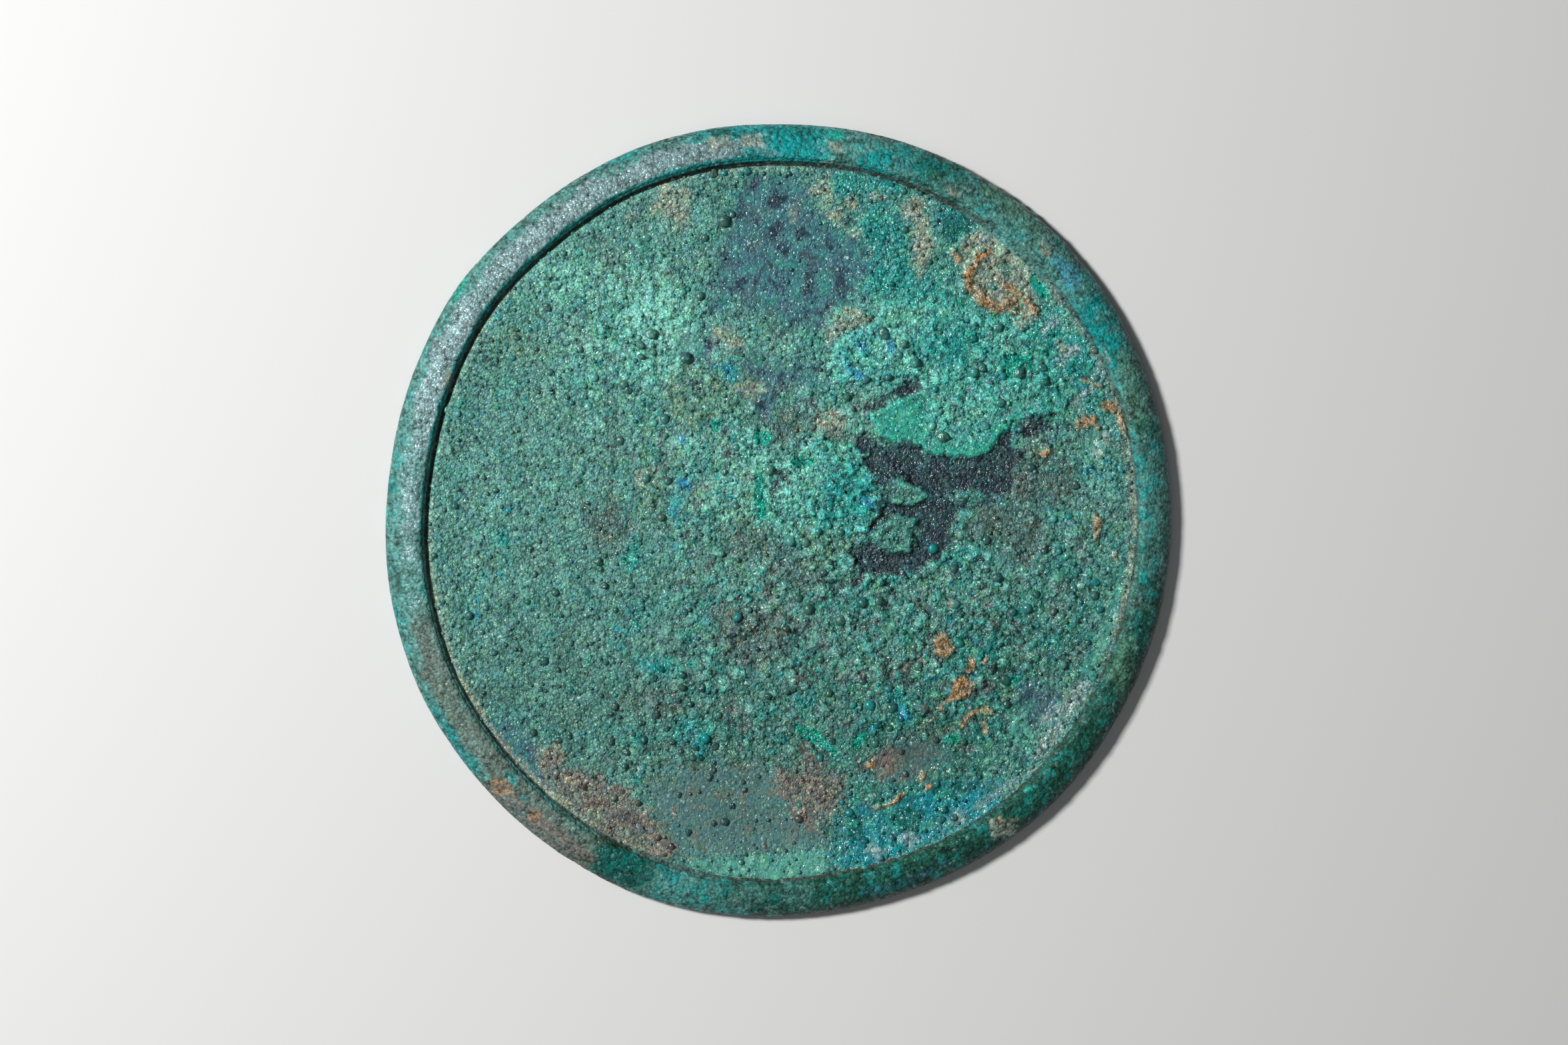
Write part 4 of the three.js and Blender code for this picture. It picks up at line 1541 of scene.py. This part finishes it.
class MIRROR_OT_great_warts(bpy.types.Operator):
    """Grows the great warts, each at its own place"""

    bl_idname = "mirror.great_warts"
    bl_label = "Great warts"

    def execute(self, context):
        ground = places(bpy.data.objects["field_crust"].data)
        rows = np.array(GREAT_WARTS)
        rows[:, :2] += DRAWN_OFF
        seats = [ground[np.hypot(*(ground[:, :2] - row[:2]).T) < row[2] / 2, 2].max()
                 for row in rows]
        mesh = bpy.data.meshes.new("great_warts")
        mesh.from_pydata(np.column_stack([rows[:, :2], seats]) * MM, [], [])
        mark(mesh, "width", rows[:, 2])
        warts = bpy.data.objects.new("great_warts", mesh)
        context.scene.collection.objects.link(warts)
        apply_nodes(warts, "great_warts", great_warts)
        finish_growth(warts, wart_finish("great_wart_patina", 0.66, 0.17, -0.3))
        return {"FINISHED"}


class MIRROR_OT_studio(bpy.types.Operator):
    """Sets the floor, the lamps, the room light and the camera"""

    bl_idname = "mirror.studio"
    bl_label = "Studio"

    def execute(self, context):
        studio = context.scene.mirror_studio
        bpy.ops.object.select_all(action="DESELECT")
        bpy.ops.mesh.primitive_plane_add(size=8, location=(0, 0, 0))
        floor = context.object
        floor.name = "floor"
        material, board = new_finish("pale_floor")
        shader = board.add(
            "ShaderNodeBsdfPrincipled", {},
            {"Base Color": as_colour(studio.floor_colour), "Roughness": 0.75})
        board.add("ShaderNodeOutputMaterial", {}, {"Surface": shader.out()})
        floor.data.materials.append(material)
        add_lamp("key_lamp", power=studio.key_power, width=0.15, distance=0.95,
                 side=studio.key_side, height=studio.key_height)
        add_lamp("fill_lamp", power=0.6, width=0.6, distance=1.0,
                 side=studio.key_side + math.radians(95), height=math.radians(60))
        room = bpy.data.worlds.new("room")
        room.use_nodes = True
        glow = room.node_tree.nodes["Background"].inputs
        glow["Color"].default_value = (0.86, 0.9, 0.94, 1)
        glow["Strength"].default_value = studio.room_light
        context.scene.world = room
        add_camera(studio)
        context.scene.view_settings.view_transform = "Standard"
        return {"FINISHED"}


def towards(side, height):
    """The direction that faces this side at this height over the horizon."""
    return Vector((math.cos(height) * math.cos(side), math.cos(height) * math.sin(side),
                   math.sin(height)))


def facing(place, target, up):
    """Where something stands that looks from a place to a target, with this way up."""
    back = (place - target).normalized()
    right = up.cross(back).normalized()
    turn = Matrix((right, back.cross(right), back)).transposed().to_4x4()
    return Matrix.Translation(place) @ turn


def add_lamp(name, power, width, distance, side, height):
    """A soft square lamp that shines on the disc's middle."""
    lamp = bpy.data.lights.new(name, "AREA")
    lamp.energy = power
    lamp.size = width
    stand = bpy.data.objects.new(name, lamp)
    stand.matrix_world = facing(towards(side, height) * distance, Vector(), Vector((0, 0, 1)))
    bpy.context.scene.collection.objects.link(stand)


def add_camera(studio):
    """The camera over the disc, leaning a little, with the disc just left of its middle."""
    camera = bpy.data.cameras.new("camera")
    camera.lens = studio.lens
    camera.clip_start = 0.01
    stand = bpy.data.objects.new("camera", camera)
    target = Vector((-0.3, 0.1, 4)) * MM
    lean = math.radians(90) - studio.tilt
    place = target + towards(studio.side, lean) * studio.distance
    stand.matrix_world = facing(place, target, Vector((0, 1, 0)))
    bpy.context.scene.collection.objects.link(stand)
    bpy.context.scene.camera = stand


STEPS = (
    MIRROR_OT_casting, MIRROR_OT_crust, MIRROR_OT_warts, MIRROR_OT_great_warts, MIRROR_OT_studio,
)


class MIRROR_PT_sidebar(bpy.types.Panel):
    """The mirror's settings and the steps that build it"""

    bl_label = "Disc mirror"
    bl_idname = "MIRROR_PT_sidebar"
    bl_space_type = "VIEW_3D"
    bl_region_type = "UI"
    bl_category = "Mirror"

    def draw(self, context):
        for step in STEPS:
            self.layout.operator(step.bl_idname)
        for settings in ("mirror_sizes", "patina_colours", "mirror_studio"):
            group = getattr(context.scene, settings)
            box = self.layout.box()
            for name in type(group).__annotations__:
                box.prop(group, name)


SETTINGS = (MirrorSizes, PatinaColours, StudioSettings)


def register():
    for part in (*SETTINGS, *STEPS, MIRROR_PT_sidebar):
        bpy.utils.register_class(part)
    bpy.types.Scene.mirror_sizes = PointerProperty(type=MirrorSizes)
    bpy.types.Scene.patina_colours = PointerProperty(type=PatinaColours)
    bpy.types.Scene.mirror_studio = PointerProperty(type=StudioSettings)


def unregister():
    del bpy.types.Scene.mirror_studio
    del bpy.types.Scene.patina_colours
    del bpy.types.Scene.mirror_sizes
    for part in reversed((*SETTINGS, *STEPS, MIRROR_PT_sidebar)):
        bpy.utils.unregister_class(part)


def main():
    register()
    bpy.ops.mirror.casting()
    bpy.ops.mirror.crust()
    bpy.ops.mirror.warts()
    bpy.ops.mirror.great_warts()
    bpy.ops.mirror.studio()


if __name__ == "__main__":
    main()
